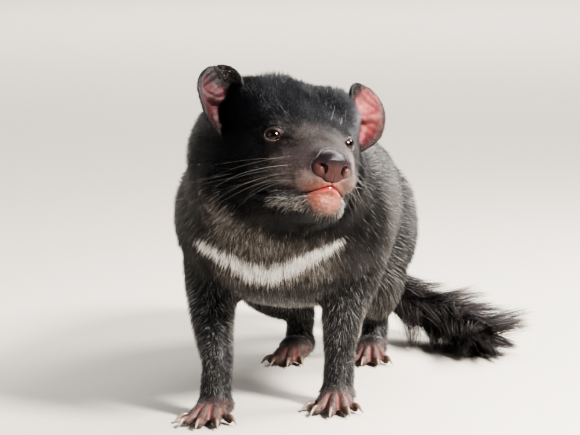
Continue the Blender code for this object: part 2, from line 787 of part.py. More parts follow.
def build_feet(legs):
    """Each paw with its claws, cut level at the wrist."""
    for foot, rows in legs.items():
        toes = FORE_TOES if foot.startswith("fore") else HIND_TOES
        paw = flesh("paw", paw_forms(foot, toes, rows), *PAW_FLESH)
        over = mesh_of("over", [block(Matrix.Identity(4), (-FAR, -FAR, WRIST_HEIGHT - GAP), (FAR, FAR, FAR))])
        paw = above_floor(combine(paw, [over], "DIFFERENCE"))
        skin = grown(paw)
        node(foot + "_paw", paw, "foot_skin")
        for number, toe in enumerate(toes, 1):
            horn = mesh_of("claw", [claw(foot, toe)])
            node(f"{foot}_claw_{number}", combine(horn, [skin.copy()], "DIFFERENCE"), "claw")


def build_head():
    """The head with its mouth, eye sockets and lids, and the nose, eyes and ears that sit on it."""
    frame = head_frame()
    forms = [placed(form, frame) for form in head_forms()] + [neck(), trunk()]
    region = mesh_of("head_region", [block(frame, HEAD_LOW, HEAD_HIGH)])
    head = combine(flesh("head", forms, *HEAD_FLESH), [region.copy()], "INTERSECT")
    head = combine(head, [mesh_of("lids", [lid(side)]) for side in (-1, 1)], "UNION")
    hollow = ball((0, 0, 0), (EYE_RADIUS + GAP,) * 3)
    sockets = [mesh_of("socket", [placed(hollow, eye_frame(side))]) for side in (-1, 1)]
    nose = flesh("nose", [placed(form, frame) for form in nose_forms()], *NOSE_FLESH)
    head = combine(head, [mesh_of("groove", [mouth_groove()]), grown(nose), *sockets], "DIFFERENCE")
    node("nose", combine(nose, nostril_cutters(1) + nostril_cutters(-1), "DIFFERENCE"), "nose_leather")
    skin = grown(head)
    for name, side in (("right", -1), ("left", 1)):
        eyeball = ball((0, 0, 0), (EYE_RADIUS,) * 3, fineness=2)
        node("eye_" + name, mesh_of("eye", [placed(eyeball, eye_frame(side))]), "eye")
        cup = mesh_of("ear", [ear(side)])
        node("ear_" + name, combine(cup, [skin.copy()], "DIFFERENCE"), "ear_skin")
    node("head", head, "coat")
    return region


def build_body(legs, head_region):
    """Neck, trunk, legs and tail, divided from one rounded form."""
    forms = [trunk(), neck(), tail_form()]
    forms += [placed(form, head_frame()) for form in head_forms()]
    forms += [tube(rows, count=24) for rows in legs.values()]
    body = flesh("body", forms, *BODY_FLESH)
    body = combine(body, [grown(head_region)], "DIFFERENCE")
    under = mesh_of("under", [block(Matrix.Identity(4), (-FAR, -FAR, -FAR), (FAR, UNDER_BACK, WRIST_HEIGHT))])
    body = combine(body, [under], "DIFFERENCE")
    for foot, rows in legs.items():
        leg, body = split(body, leg_region(rows))
        node(foot + "_leg", leg, "coat")
    tail, body = split(body, cut_block("tail_region", TAIL_CUT, TAIL_CUT_TILT, (0, CUT_HALF), CUT_HALF))
    brush, root = split(tail, cut_block("brush_region", BRUSH_CUT, BRUSH_CUT_TILT, (0, CUT_HALF), CUT_HALF))
    brush = combine(brush, tail_locks(), "UNION")
    node("tail_brush", combine(brush, [grown(root)], "DIFFERENCE"), "tail_hair")
    node("tail_root", root, "coat")
    front = cut_block("nape_region", NECK_CUT, NECK_CUT_TILT, (-CUT_HALF, 0), NECK_CUT_BELOW)
    nape, body = split(body, front)
    node("neck", nape, "coat")
    node("trunk", body, "coat")


def stand_in_the_middle():
    """Moves every part so that the origin lies on the floor under the middle of the whole animal."""
    nodes = [obj for obj in bpy.context.scene.objects if obj.type == "MESH"]
    points = np.vstack([np.array([v.co for v in obj.data.vertices]) for obj in nodes])
    middle = (points.min(0) + points.max(0)) / 2
    shift = Matrix.Translation((-middle[0], -middle[1], 0))
    for obj in nodes:
        obj.data.transform(shift)


def main():
    clear_scene()
    legs = {
        "fore_right": fore_leg(-1, "fore_right"),
        "fore_left": fore_leg(1, "fore_left"),
        "hind_right": hind_leg(-1, "hind_right"),
        "hind_left": hind_leg(1, "hind_left"),
    }
    head_region = build_head()
    build_body(legs, head_region)
    build_feet(legs)
    stand_in_the_middle()


if __name__ == "__main__":
    main()
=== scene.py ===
"""The looks of a life-size Tasmanian devil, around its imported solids: one skin with its face and feet, a coat
of mesh tufts, nose, eyes, ears, lips, claws, whiskers and the brush of the tail.

Metres, +Z up. The breast points towards -Y and the animal's left is +X. Places on the body are written in the
drawing frame, in which the solids were drawn before they were centred, and places on the face in the head's
frame, which starts at nose level and looks along its own -Y.
"""

from __future__ import annotations

import json
import logging
import math
from dataclasses import dataclass, field, replace
from enum import Enum, IntEnum

import bmesh
import bpy
import numpy as np
from mathutils import Matrix, Vector
from mathutils.bvhtree import BVHTree

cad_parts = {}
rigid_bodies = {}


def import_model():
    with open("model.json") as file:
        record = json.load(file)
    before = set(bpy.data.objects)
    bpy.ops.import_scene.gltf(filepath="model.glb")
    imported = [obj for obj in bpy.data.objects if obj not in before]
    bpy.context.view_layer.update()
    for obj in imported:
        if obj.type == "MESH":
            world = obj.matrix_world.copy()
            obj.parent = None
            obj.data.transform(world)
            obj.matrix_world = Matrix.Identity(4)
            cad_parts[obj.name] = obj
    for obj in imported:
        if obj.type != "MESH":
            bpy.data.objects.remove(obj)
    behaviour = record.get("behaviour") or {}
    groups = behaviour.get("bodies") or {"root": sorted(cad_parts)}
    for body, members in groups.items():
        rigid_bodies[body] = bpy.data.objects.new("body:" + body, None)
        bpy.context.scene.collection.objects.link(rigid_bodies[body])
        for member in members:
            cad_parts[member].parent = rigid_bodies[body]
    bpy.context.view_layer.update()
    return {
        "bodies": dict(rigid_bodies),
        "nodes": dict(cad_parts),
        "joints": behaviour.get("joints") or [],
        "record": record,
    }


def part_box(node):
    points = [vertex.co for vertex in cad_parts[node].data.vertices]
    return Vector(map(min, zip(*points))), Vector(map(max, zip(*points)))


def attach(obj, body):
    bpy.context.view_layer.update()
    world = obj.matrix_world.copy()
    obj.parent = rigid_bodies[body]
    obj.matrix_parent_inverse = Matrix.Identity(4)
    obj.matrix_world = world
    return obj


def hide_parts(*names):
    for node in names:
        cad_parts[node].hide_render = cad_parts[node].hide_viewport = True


LOG = logging.getLogger("devil")
ROOT = "root"
TINT = "tint"
BAKE_MAP = "OFBake"
Point = tuple[float, float, float]
Colour = tuple[float, float, float]
Array = np.ndarray
Shape = tuple[Array, Array]
Mesh = bpy.types.Mesh
Object = bpy.types.Object
Node = bpy.types.Node
FLESH = (
    "head", "neck", "trunk", "tail_root",
    "fore_left_leg", "fore_right_leg", "hind_left_leg", "hind_right_leg",
    "fore_left_paw", "fore_right_paw", "hind_left_paw", "hind_right_paw",
)


class Side(Enum):
    """The animal's own sides."""

    LEFT = 1
    RIGHT = -1


def unit(vectors: Array) -> Array:
    """Each vector divided by its length."""
    return vectors / np.maximum(np.linalg.norm(vectors, axis=-1, keepdims=True), 1e-12)


def ease(values: Array, low: float, high: float) -> Array:
    """0 below low, 1 above high and 3t^2 - 2t^3 between them; low may be above high."""
    t = np.clip((values - low) / (high - low), 0.0, 1.0)
    return t * t * (3 - 2 * t)


def hill(values: Array, width: float) -> Array:
    """The bell exp(-(x / width)^2)."""
    return np.exp(-((values / width) ** 2))


def waves(points: Array, size: float, seed: int, count: int = 14) -> Array:
    """Smooth noise about -1 to 1: the sum of sine waves in random directions.

    Args:
        points: where it is read.
        size: about how long the waves are.
        seed: what picks the directions.
        count: how many waves.

    Returns:
        One value for each point.
    """
    draw = np.random.default_rng(seed)
    ways = unit(draw.normal(size=(count, 3))) * (2 * math.pi / size) * draw.uniform(0.6, 1.6, (count, 1))
    return np.sin(points @ ways.T + draw.uniform(0, 2 * math.pi, count)).sum(1) * math.sqrt(2 / count) * 0.5


def through(rows: Array, count: int) -> Array:
    """Points of the Catmull-Rom curve through the rows.

    Args:
        rows: the points that it passes.
        count: how many even steps it is read at.

    Returns:
        Rows of points.
    """
    rows = np.asarray(rows, float)
    ends = np.vstack([2 * rows[0] - rows[1], rows, 2 * rows[-1] - rows[-2]])
    at = np.linspace(0, len(rows) - 1, count)
    index = np.minimum(at.astype(int), len(rows) - 2)
    u = (at - index)[:, None]
    before, start, end, after = (ends[index + step] for step in range(4))
    square = 2 * before - 5 * start + 4 * end - after
    cube = 3 * start - before - 3 * end + after
    return 0.5 * (2 * start + (end - before) * u + square * u**2 + cube * u**3)


def made_mesh(name: str, points: Array, faces: Array) -> Mesh:
    """A smooth-shaded mesh from whole arrays.

    Args:
        name: the mesh's name.
        points: one row of x, y, z for each vertex.
        faces: one row of vertex numbers for each face, all with the same number of corners.

    Returns:
        The mesh.
    """
    mesh = bpy.data.meshes.new(name)
    corners = faces.shape[1]
    mesh.vertices.add(len(points))
    mesh.vertices.foreach_set("co", np.asarray(points, np.float32).ravel())
    mesh.loops.add(faces.size)
    mesh.loops.foreach_set("vertex_index", np.asarray(faces, np.int32).ravel())
    mesh.polygons.add(len(faces))
    mesh.polygons.foreach_set("loop_start", np.arange(0, faces.size, corners, dtype=np.int32))
    mesh.update(calc_edges=True)
    mesh.validate()
    mesh.shade_smooth()
    return mesh


def made_object(name: str, mesh: Mesh) -> Object:
    """An object at the origin that shows the mesh."""
    obj = bpy.data.objects.new(name, mesh)
    bpy.context.scene.collection.objects.link(obj)
    return obj


def around(count: int) -> Array:
    """Even angles of one full turn, from 0."""
    return np.linspace(0, 2 * math.pi, count, endpoint=False)


def ring_faces(rings: int, columns: int) -> Array:
    """Triangles between neighbours of a grid of points whose last column is joined to the first."""
    r, c = np.arange(rings - 1)[:, None], np.arange(columns)[None, :]
    n = (c + 1) % columns
    corners = (r * columns + c, r * columns + n, (r + 1) * columns + n, (r + 1) * columns + c)
    quads = np.stack(np.broadcast_arrays(*corners), -1).reshape(-1, 4)
    return np.vstack([quads[:, [0, 1, 2]], quads[:, [0, 2, 3]]])


def closed_tube(grid: Array) -> Shape:
    """A tube of rings, with a centre point that closes each end.

    Args:
        grid: rings by columns by 3.

    Returns:
        Points, and triangles that face outwards.
    """
    rings, columns = grid.shape[:2]
    k, first = np.arange(columns), rings * columns
    n = (k + 1) % columns
    start = np.stack([np.full(columns, first), n, k], 1)
    end = np.stack([np.full(columns, first + 1), first - columns + k, first - columns + n], 1)
    points = np.vstack([grid.reshape(-1, 3), grid[0].mean(0), grid[-1].mean(0)])
    return points, outward(points, np.vstack([ring_faces(rings, columns), start, end]))


def outward(points: Array, faces: Array) -> Array:
    """The triangles, turned over if the volume they enclose, the sum of a.(b x c)/6, is negative."""
    a, b, c = (points[faces[:, k]] for k in range(3))
    return faces if np.einsum("ij,ij->", a, np.cross(b, c)) > 0 else faces[:, ::-1]


def joined(shapes: list[Shape]) -> Shape:
    """Several shapes' points and faces as one."""
    starts = np.cumsum([0] + [len(points) for points, _ in shapes[:-1]])
    points = np.vstack([points for points, _ in shapes])
    return points, np.vstack([faces + start for (_, faces), start in zip(shapes, starts)])


def hose(line: Array, radii: Array, sides: int, across: Array | None = None,
         flat: float = 1.0) -> Shape:
    """A tube round a line: p(t, a) = line(t) + r(t) (cos a side + flat sin a rise).

    Args:
        line: rows of points.
        radii: the radius at each.
        sides: points round each ring.
        across: the direction of side; any that is square to the line's start if left out.
        flat: how thick the section is beside its width.

    Returns:
        Points and triangles.
    """
    along = unit(np.gradient(line, axis=0))
    if across is None:
        across = np.cross(along[0], (0.31, 0.52, 0.79))
    side = unit(across - (along @ across)[:, None] * along)
    rise = np.cross(side, along)
    turn = around(sides)[None, :, None]
    ring = np.cos(turn) * side[:, None] + flat * np.sin(turn) * rise[:, None]
    return closed_tube(line[:, None] + radii[:, None, None] * ring)


def ball_ways(rows: int, columns: int) -> tuple[Array, Array, Array]:
    """Directions over a ball: (sin p cos t, -cos p, sin p sin t), from its front pole to its back one.

    Returns:
        The directions, rows by columns by 3, the polar angles p and the turns t.
    """
    polar, turn = np.linspace(0, math.pi, rows)[:, None], around(columns)[None, :]
    parts = (np.sin(polar) * np.cos(turn), -np.cos(polar), np.sin(polar) * np.sin(turn))
    return np.stack(np.broadcast_arrays(*parts), -1), polar, turn


def root_ring(across: Array, rise: Array, width: Array) -> Array:
    """Three points for each tuft's root: width (cos a across + 0.6 sin a rise), a = 90, 210, 330 degrees."""
    turn = np.array((0.5, 7 / 6, 11 / 6))[None, :, None] * math.pi
    return (np.cos(turn) * across[:, None] + 0.6 * np.sin(turn) * rise[:, None]) * width[:, None, None]


def moved(points: Array, matrix: Array) -> Array:
    """The points carried by a 4 by 4 matrix."""
    return points @ matrix[:3, :3].T + matrix[:3, 3]


def evaluated(obj: Object) -> Mesh:
    """The mesh that the object's modifiers make. The object goes."""
    bpy.context.view_layer.update()
    graph = bpy.context.evaluated_depsgraph_get()
    mesh = bpy.data.meshes.new_from_object(obj.evaluated_get(graph))
    bpy.data.objects.remove(obj, do_unlink=True)
    return mesh


def rows_of(items: bpy.types.bpy_prop_collection, name: str, width: int, kind: type = np.int32) -> Array:
    """One value of every item in a mesh's list, as rows of the width."""
    flat = np.empty(len(items) * width, kind)
    items.foreach_get(name, flat)
    return flat.reshape(-1, width)


def vertex_points(mesh: Mesh) -> Array:
    """The mesh's vertices as rows of x, y, z."""
    return rows_of(mesh.vertices, "co", 3, np.float32).astype(float)


def vertex_normals(mesh: Mesh) -> Array:
    """The mesh's vertex normals."""
    return rows_of(mesh.vertex_normals, "vector", 3, np.float32).astype(float)


def triangles_of(mesh: Mesh) -> Array:
    """The mesh's triangles as rows of vertex numbers."""
    mesh.calc_loop_triangles()
    return rows_of(mesh.loop_triangles, "vertices", 3)


def relaxed(points: Array, edges: Array, rounds: int, share: Array) -> Array:
    """The points after rounds of p' = p + share (mean of its neighbours - p).

    Args:
        points: rows of points.
        edges: rows of two point numbers.
        rounds: how many rounds.
        share: how far each point moves.

    Returns:
        The moved points.
    """
    count = len(points)
    near = np.bincount(edges.ravel(), minlength=count)[:, None]
    one, two = edges.T
    for _ in range(rounds):
        total = np.empty_like(points)
        for k, row in enumerate(points.T):
            total[:, k] = np.bincount(one, row[two], count) + np.bincount(two, row[one], count)
        points = points + share[:, None] * (total / near - points)
    return points


def set_colours(mesh: Mesh, colours: Array) -> None:
    """Keeps one linear colour for each vertex as an attribute."""
    layer = mesh.attributes.new(TINT, "FLOAT_COLOR", "POINT")
    full = np.concatenate([colours, np.ones((len(colours), 1))], 1)
    layer.data.foreach_set("color", full.astype(np.float32).ravel())


def layered(ground: Array | Colour, *layers: tuple[Array | Colour, Array]) -> Array:
    """Rows of colours: the ground, then c (1 - share) + tone share for the tone and share of each layer."""
    colour = np.asarray(ground, float)
    for tone, share in layers:
        colour = colour * (1 - share[:, None]) + np.asarray(tone) * share[:, None]
    return colour


@dataclass
class Anatomy:
    """Where the head, the eyes and the ears sit. The shift from the drawing frame comes from an eye's box."""

    head_at: Vector = field(default_factory=lambda: Vector((0.0330, -0.1265, 0.2300)))
    head_turn: float = math.radians(33)
    head_rise: float = math.radians(3)
    head_tilt: float = math.radians(8.5)
    eye_at: Point = (0.0325, -0.024, 0.0195)
    eye_turn: float = math.radians(33)
    eye_rise: float = math.radians(10)
    eye_radius: float = 0.0078
    lid_opening: tuple[float, float] = (0.0064, 0.0042)
    ear_at: Point = (0.0545, 0.0130, 0.0180)
    ear_lean: float = math.radians(16)
    ear_back: float = math.radians(8)
    ear_turn: float = math.radians(3)
    ear_height: float = 0.060
    mouth_front: Point = (0.0, -0.0790, -0.0196)
    mouth_corner: Point = (0.0396, -0.0130, -0.0280)
    shift: Vector = field(default_factory=Vector)

    def __post_init__(self) -> None:
        """Finds the shift: the middle of the left eye's box less its place in the drawing frame."""
        low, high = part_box("eye_left")
        self.shift = (low + high) / 2 - self.eye_matrix(Side.LEFT).translation

    def head_matrix(self) -> Matrix:
        """Carries the head's frame to the row frame."""
        turn = Matrix.Rotation(self.head_turn, 4, "Z")
        rise = Matrix.Rotation(-self.head_rise, 4, "X")
        tilt = Matrix.Rotation(self.head_tilt, 4, "Y")
        return Matrix.Translation(self.head_at + self.shift) @ turn @ rise @ tilt

    def eye_matrix(self, side: Side) -> Matrix:
        """Carries an eye's frame, which looks along its -Y, to the row frame."""
        x, y, z = self.eye_at
        turn = Matrix.Rotation(side.value * self.eye_turn, 4, "Z") @ Matrix.Rotation(-self.eye_rise, 4, "X")
        return self.head_matrix() @ Matrix.Translation((side.value * x, y, z)) @ turn

    def ear_matrix(self, side: Side) -> Matrix:
        """Carries an ear's frame, whose cup opens along its -Y, to the row frame."""
        x, y, z = self.ear_at
        turn = (
            Matrix.Rotation(side.value * self.ear_lean, 4, "Y")
            @ Matrix.Rotation(-self.ear_back, 4, "X")
            @ Matrix.Rotation(side.value * self.ear_turn, 4, "Z")
        )
        return self.head_matrix() @ Matrix.Translation((side.value * x, y, z)) @ turn

    def drawing(self, points: Array) -> Array:
        """Points of the row frame in the drawing frame."""
        return points - np.array(self.shift)

    def placed(self, points: Array) -> Array:
        """Points of the drawing frame in the row frame."""
        return points + np.array(self.shift)

    def in_head(self, points: Array) -> Array:
        """Points of the row frame in the head's frame."""
        return moved(points, np.array(self.head_matrix().inverted()))

    def from_head(self, points: Array) -> Array:
        """Points of the head's frame in the row frame."""
        return moved(points, np.array(self.head_matrix()))

    def in_eye(self, points: Array, side: Side) -> Array:
        """Points of the row frame in an eye's frame."""
        return moved(points, np.array(self.eye_matrix(side).inverted()))

    def mouth_line(self, share: Array) -> Array:
        """The line between the lips in the head's frame, from the right corner at -1 to the left at 1.

        A quarter ellipse on each side: x = X sin(a)^0.9, y = F + (C - F)(1 - cos a), with a = |share| pi/2; z
        falls evenly from the front to the corner, less a small bow, under a low arch at the front.
        """
        reach = np.abs(share)
        (_, front_y, front_z), (corner_x, corner_y, corner_z) = self.mouth_front, self.mouth_corner
        x = np.sign(share) * corner_x * np.sin(reach * math.pi / 2) ** 0.9
        y = front_y + (corner_y - front_y) * (1 - np.cos(reach * math.pi / 2)) - 0.004 * (1 - reach)
        z = front_z + (corner_z - front_z) * reach - 0.0018 * np.sin(reach * math.pi)
        z = z + 0.0026 * hill(reach, 0.20)
        return np.stack([x, y, z], -1)


@dataclass(frozen=True)
class NoseForm:
    """The plain form of the nose's leather: overlapping ellipsoids, as middle and radii, round its middle."""

    middle: Point = (0.0, -0.0713, -0.0010)
    blobs: tuple[tuple[Point, Point], ...] = (
        ((0.0, 0.0000, 0.0020), (0.0152, 0.0140, 0.0128)),
        ((0.0, -0.0006, -0.0042), (0.0116, 0.0126, 0.0106)),
        ((0.0096, 0.0010, -0.0016), (0.0082, 0.0114, 0.0086)),
        ((-0.0096, 0.0010, -0.0016), (0.0082, 0.0114, 0.0086)),
    )

    def reach(self, way: Array) -> Array:
        """How far the leather lies from its middle: the soft maximum of the ellipsoids' own reaches."""
        total = 0.0
        for middle, radii in self.blobs:
            m, s = -np.array(middle) / radii, way / np.array(radii)
            a, b, c = (s * s).sum(-1), (s * m).sum(-1), (m * m).sum() - 1
            total = total + (np.maximum(-b + np.sqrt(np.maximum(b * b - a * c, 0)), 1e-4) / a) ** 14
        return total ** (1 / 14)

    def share(self, h: Array) -> Array:
        """How far points of the head's frame lie from the middle, where 1 is on the leather."""
        apart = h - self.middle
        distance = np.linalg.norm(apart, axis=1)
        return distance / self.reach(apart / distance[:, None])


@dataclass(frozen=True)
class Station:
    """How the coat grows at a place in millimetres: its lie, length and depth from the tips to the skin."""

    at: Point
    lie: Point
    length: float
    depth: float
    lift: float = 1.0


HEAD_MIDDLE = (
    ((0, -68, 10), (0, 1, 0.3), 0.0030, 0.0003),
    ((0, -45, 22), (0, 1, 0.5), 0.0038, 0.0005),
    ((0, -20, 42), (0, 1, 0.7), 0.0058, 0.0011),
    ((0, 12, 64), (0, 1, 0.3), 0.0125, 0.0030, 1.4),
    ((0, 50, 68), (0, 1, 0.0), 0.0155, 0.0038, 1.25),
    ((-13, 30, 69), (0.2, 0.5, 0.8), 0.0185, 0.0040, 2.4),
    ((0, -79, -30), (0, 0.4, -1), 0.0020, 0.0002),
    ((0, -60, -44), (0, 1, -0.3), 0.0060, 0.0006),
    ((0, -25, -56), (0, 1, -0.1), 0.0100, 0.0018),
)
HEAD_PAIRED = (
    ((13, -75, -12), (0.5, 0.8, -0.5), 0.0024, 0.0003),
    ((24, -58, -8), (0.35, 1, -0.25), 0.0038, 0.0004),
    ((18, -52, 10), (0.3, 1, 0.15), 0.0034, 0.0004),
    ((22, -40, 18), (0.4, 1, 0.5), 0.0032, 0.0003),
    ((33, -38, -10), (0.3, 1, -0.2), 0.0052, 0.0007),
    ((22, -60, -32), (0.2, 1, -0.8), 0.0068, 0.0006, 1.3),
    ((36, -32, -36), (0.25, 1, -0.7), 0.0090, 0.0012, 1.2),
    ((28, -14, 34), (0.3, 1, 0.8), 0.0056, 0.0009),
    ((42, -18, 6), (0.5, 1, -0.1), 0.0052, 0.0008),
    ((48, 0, -10), (0.3, 1, -0.2), 0.0080, 0.0018),
    ((45, 6, 34), (0.4, 1, 0.5), 0.0084, 0.0019),
    ((38, 24, 64), (0.3, 1, 0.3), 0.0130, 0.0032, 1.45),
    ((58, 28, -26), (0.2, 1, -0.4), 0.0130, 0.0034),
    ((50, 50, 40), (0.2, 1, -0.1), 0.0140, 0.0040),
    ((40, 20, -52), (0.1, 1, -0.3), 0.0130, 0.0030),
)
BODY_MIDDLE = (
    ((0, 0, 270), (0, 1, -0.1), 0.0190, 0.0055),
    ((0, 80, 256), (0, 1, 0.0), 0.0220, 0.0070),
    ((0, 180, 248), (0, 1, -0.1), 0.0220, 0.0070),
    ((0, 280, 215), (0, 0.8, -0.6), 0.0220, 0.0065),
    ((4, 335, 150), (0, 0.4, -1), 0.0210, 0.0045),
    ((0, 50, 95), (0, 1, -0.1), 0.0160, 0.0050),
    ((0, 180, 100), (0, 1, -0.1), 0.0160, 0.0050),
    ((5, -105, 170), (0, 0.2, -1), 0.0150, 0.0048, 1.1),
    ((2, -98, 135), (0, 0.2, -1), 0.0150, 0.0048, 1.1),
)
BODY_PAIRED = (
    ((60, -70, 195), (0.3, 0.5, -1), 0.0160, 0.0050),
    ((70, -30, 230), (0.1, 1, -0.5), 0.0180, 0.0055),
    ((80, -20, 155), (0.1, 0.5, -1), 0.0160, 0.0048),
    ((85, 40, 200), (0, 1, -0.6), 0.0200, 0.0065),
    ((95, 60, 150), (0, 0.8, -0.8), 0.0180, 0.0060),
    ((90, 130, 170), (0, 1, -0.5), 0.0210, 0.0068),
    ((80, 140, 120), (0, 1, -0.5), 0.0200, 0.0060),
    ((80, 220, 180), (0, 0.8, -0.7), 0.0200, 0.0060),
    ((75, 240, 120), (0, 0.4, -1), 0.0150, 0.0045),
    ((60, 0, 110), (0.1, 0.2, -1), 0.0100, 0.0030),
    ((55, -50, 80), (0.0, 0.1, -1), 0.0085, 0.0024),
    ((52, -50, 50), (0.0, 0.1, -1), 0.0075, 0.0018),
    ((54, -30, 32), (0.0, -0.4, -1), 0.0060, 0.0010),
    ((54, -58, 14), (0.0, -1, -0.3), 0.0030, 0.0002),
    ((44, -98, 30), (0.0, -0.4, -1), 0.0060, 0.0010),
    ((44, -128, 14), (0.0, -1, -0.3), 0.0030, 0.0002),
    ((45, 235, 70), (0.0, 0.2, -1), 0.0100, 0.0030),
    ((40, 240, 40), (0.0, -0.1, -1), 0.0070, 0.0014),
    ((40, 186, 14), (0.0, -1, -0.3), 0.0032, 0.0003),
)


@dataclass
class Lie:
    """The growth of the coat all over the body, blended between its stations by 1 / distance^4."""

    anatomy: Anatomy
    places: Array = field(init=False)
    ways: Array = field(init=False)
    sizes: Array = field(init=False)

    def __post_init__(self) -> None:
        """Lists every station in the row frame, the paired ones on both sides."""
        places, ways, sizes = [], [], []
        turn = np.array(self.anatomy.head_matrix())[:3, :3]
        for rows, sides, on_head in (
            (HEAD_MIDDLE, (1,), True), (HEAD_PAIRED, (1, -1), True),
            (BODY_MIDDLE, (1,), False), (BODY_PAIRED, (1, -1), False),
        ):
            for station in (Station(*row) for row in rows):
                for side in sides:
                    mirror = np.array((side, 1, 1))
                    at, way = np.array(station.at) / 1000 * mirror, np.array(station.lie) * mirror
                    if on_head:
                        at, way = self.anatomy.from_head(at[None])[0], turn @ way
                    else:
                        at = self.anatomy.placed(at)
                    places.append(at)
                    ways.append(way / np.linalg.norm(way))
                    sizes.append((station.length, station.depth, station.lift))
        self.places, self.ways, self.sizes = (np.array(rows) for rows in (places, ways, sizes))

    def weights(self, points: Array) -> Array:
        """Shares of the stations at each point, which add up to 1."""
        apart = ((points[:, None, :] - self.places[None]) ** 2).sum(2)
        share = 1 / (apart + 0.004**2) ** 2
        return share / share.sum(1, keepdims=True)

    def sizes_at(self, points: Array) -> Array:
        """Length, depth and lift at each point."""
        return self.weights(points) @ self.sizes

    def ways_at(self, points: Array, normals: Array) -> Array:
        """The direction of the hair along the skin: the stations' own, laid flat on the surface."""
        way = self.weights(points) @ self.ways
        return unit(way - (way * normals).sum(1, keepdims=True) * normals)


@dataclass(frozen=True)
class Foot:
    """A foot: the middle of its sole in the drawing frame, the way it points, and its toes.

    A toe is its angle from the foot's own forwards, in degrees, and how far its tip lies from the middle.
    """

    name: str
    side: Side
    at: tuple[float, float]
    turn: float
    toes: tuple[tuple[float, float], ...]

    def matrix(self) -> Array:
        """Carries the foot's frame, which looks along its -Y, to the drawing frame."""
        turn = Matrix.Rotation(self.side.value * self.turn, 4, "Z")
        return np.array(Matrix.Translation((*self.at, 0)) @ turn)


FORE_TOES = ((43, 0.0285), (20, 0.0395), (0, 0.0425), (-21, 0.0390), (-48, 0.0275))
HIND_TOES = ((31, 0.0310), (10, 0.0365), (-11, 0.0360), (-32, 0.0295))
FEET = (
    Foot("fore_right", Side.RIGHT, (-0.044, -0.098), math.radians(6), FORE_TOES),
    Foot("fore_left", Side.LEFT, (0.054, -0.030), math.radians(2), FORE_TOES),
    Foot("hind_right", Side.RIGHT, (-0.024, 0.196), math.radians(10), HIND_TOES),
    Foot("hind_left", Side.LEFT, (0.050, 0.212), math.radians(8), HIND_TOES),
)


@dataclass(frozen=True)
class Tail:
    """The line of the tail's flesh in the drawing frame, from its root to its tip, and its radii."""

    line: tuple[Point, ...] = (
        (0.002, 0.314, 0.160), (0.006, 0.345, 0.134), (0.014, 0.358, 0.101), (0.032, 0.357, 0.069),
        (0.060, 0.345, 0.045), (0.090, 0.328, 0.032), (0.118, 0.307, 0.024), (0.144, 0.282, 0.017),
    )
    radii: tuple[float, ...] = (0.024, 0.0155, 0.0115, 0.0095, 0.0085, 0.0070, 0.0050, 0.0025)

    def curve(self, anatomy: Anatomy, count: int) -> tuple[Array, Array]:
        """Points in the row frame and radii at count even steps."""
        radii = through(np.array(self.radii)[:, None], count)[:, 0]
        return anatomy.placed(through(self.line, count)), radii


@dataclass(frozen=True)
class SkinTones:
    """Linear colours of the skin, in the order in which they are laid over each other."""

    hidden: Colour = (0.010, 0.009, 0.010)
    muzzle: Colour = (0.072, 0.052, 0.047)
    front: Colour = (0.125, 0.078, 0.068)
    whisker_pad: Colour = (0.150, 0.105, 0.098)
    round_mouth: Colour = (0.250, 0.098, 0.078)
    round_eyes: Colour = (0.058, 0.043, 0.041)
    beside_nose: Colour = (0.022, 0.016, 0.016)
    chin: Colour = (0.235, 0.075, 0.052)
    under_chin: Colour = (0.130, 0.054, 0.042)
    lip: Colour = (0.300, 0.045, 0.038)
    mouth_corner: Colour = (0.012, 0.008, 0.008)
    toes: Colour = (0.105, 0.066, 0.059)
    toe_gaps: Colour = (0.270, 0.090, 0.078)
    crescent: Colour = (0.82, 0.76, 0.70)


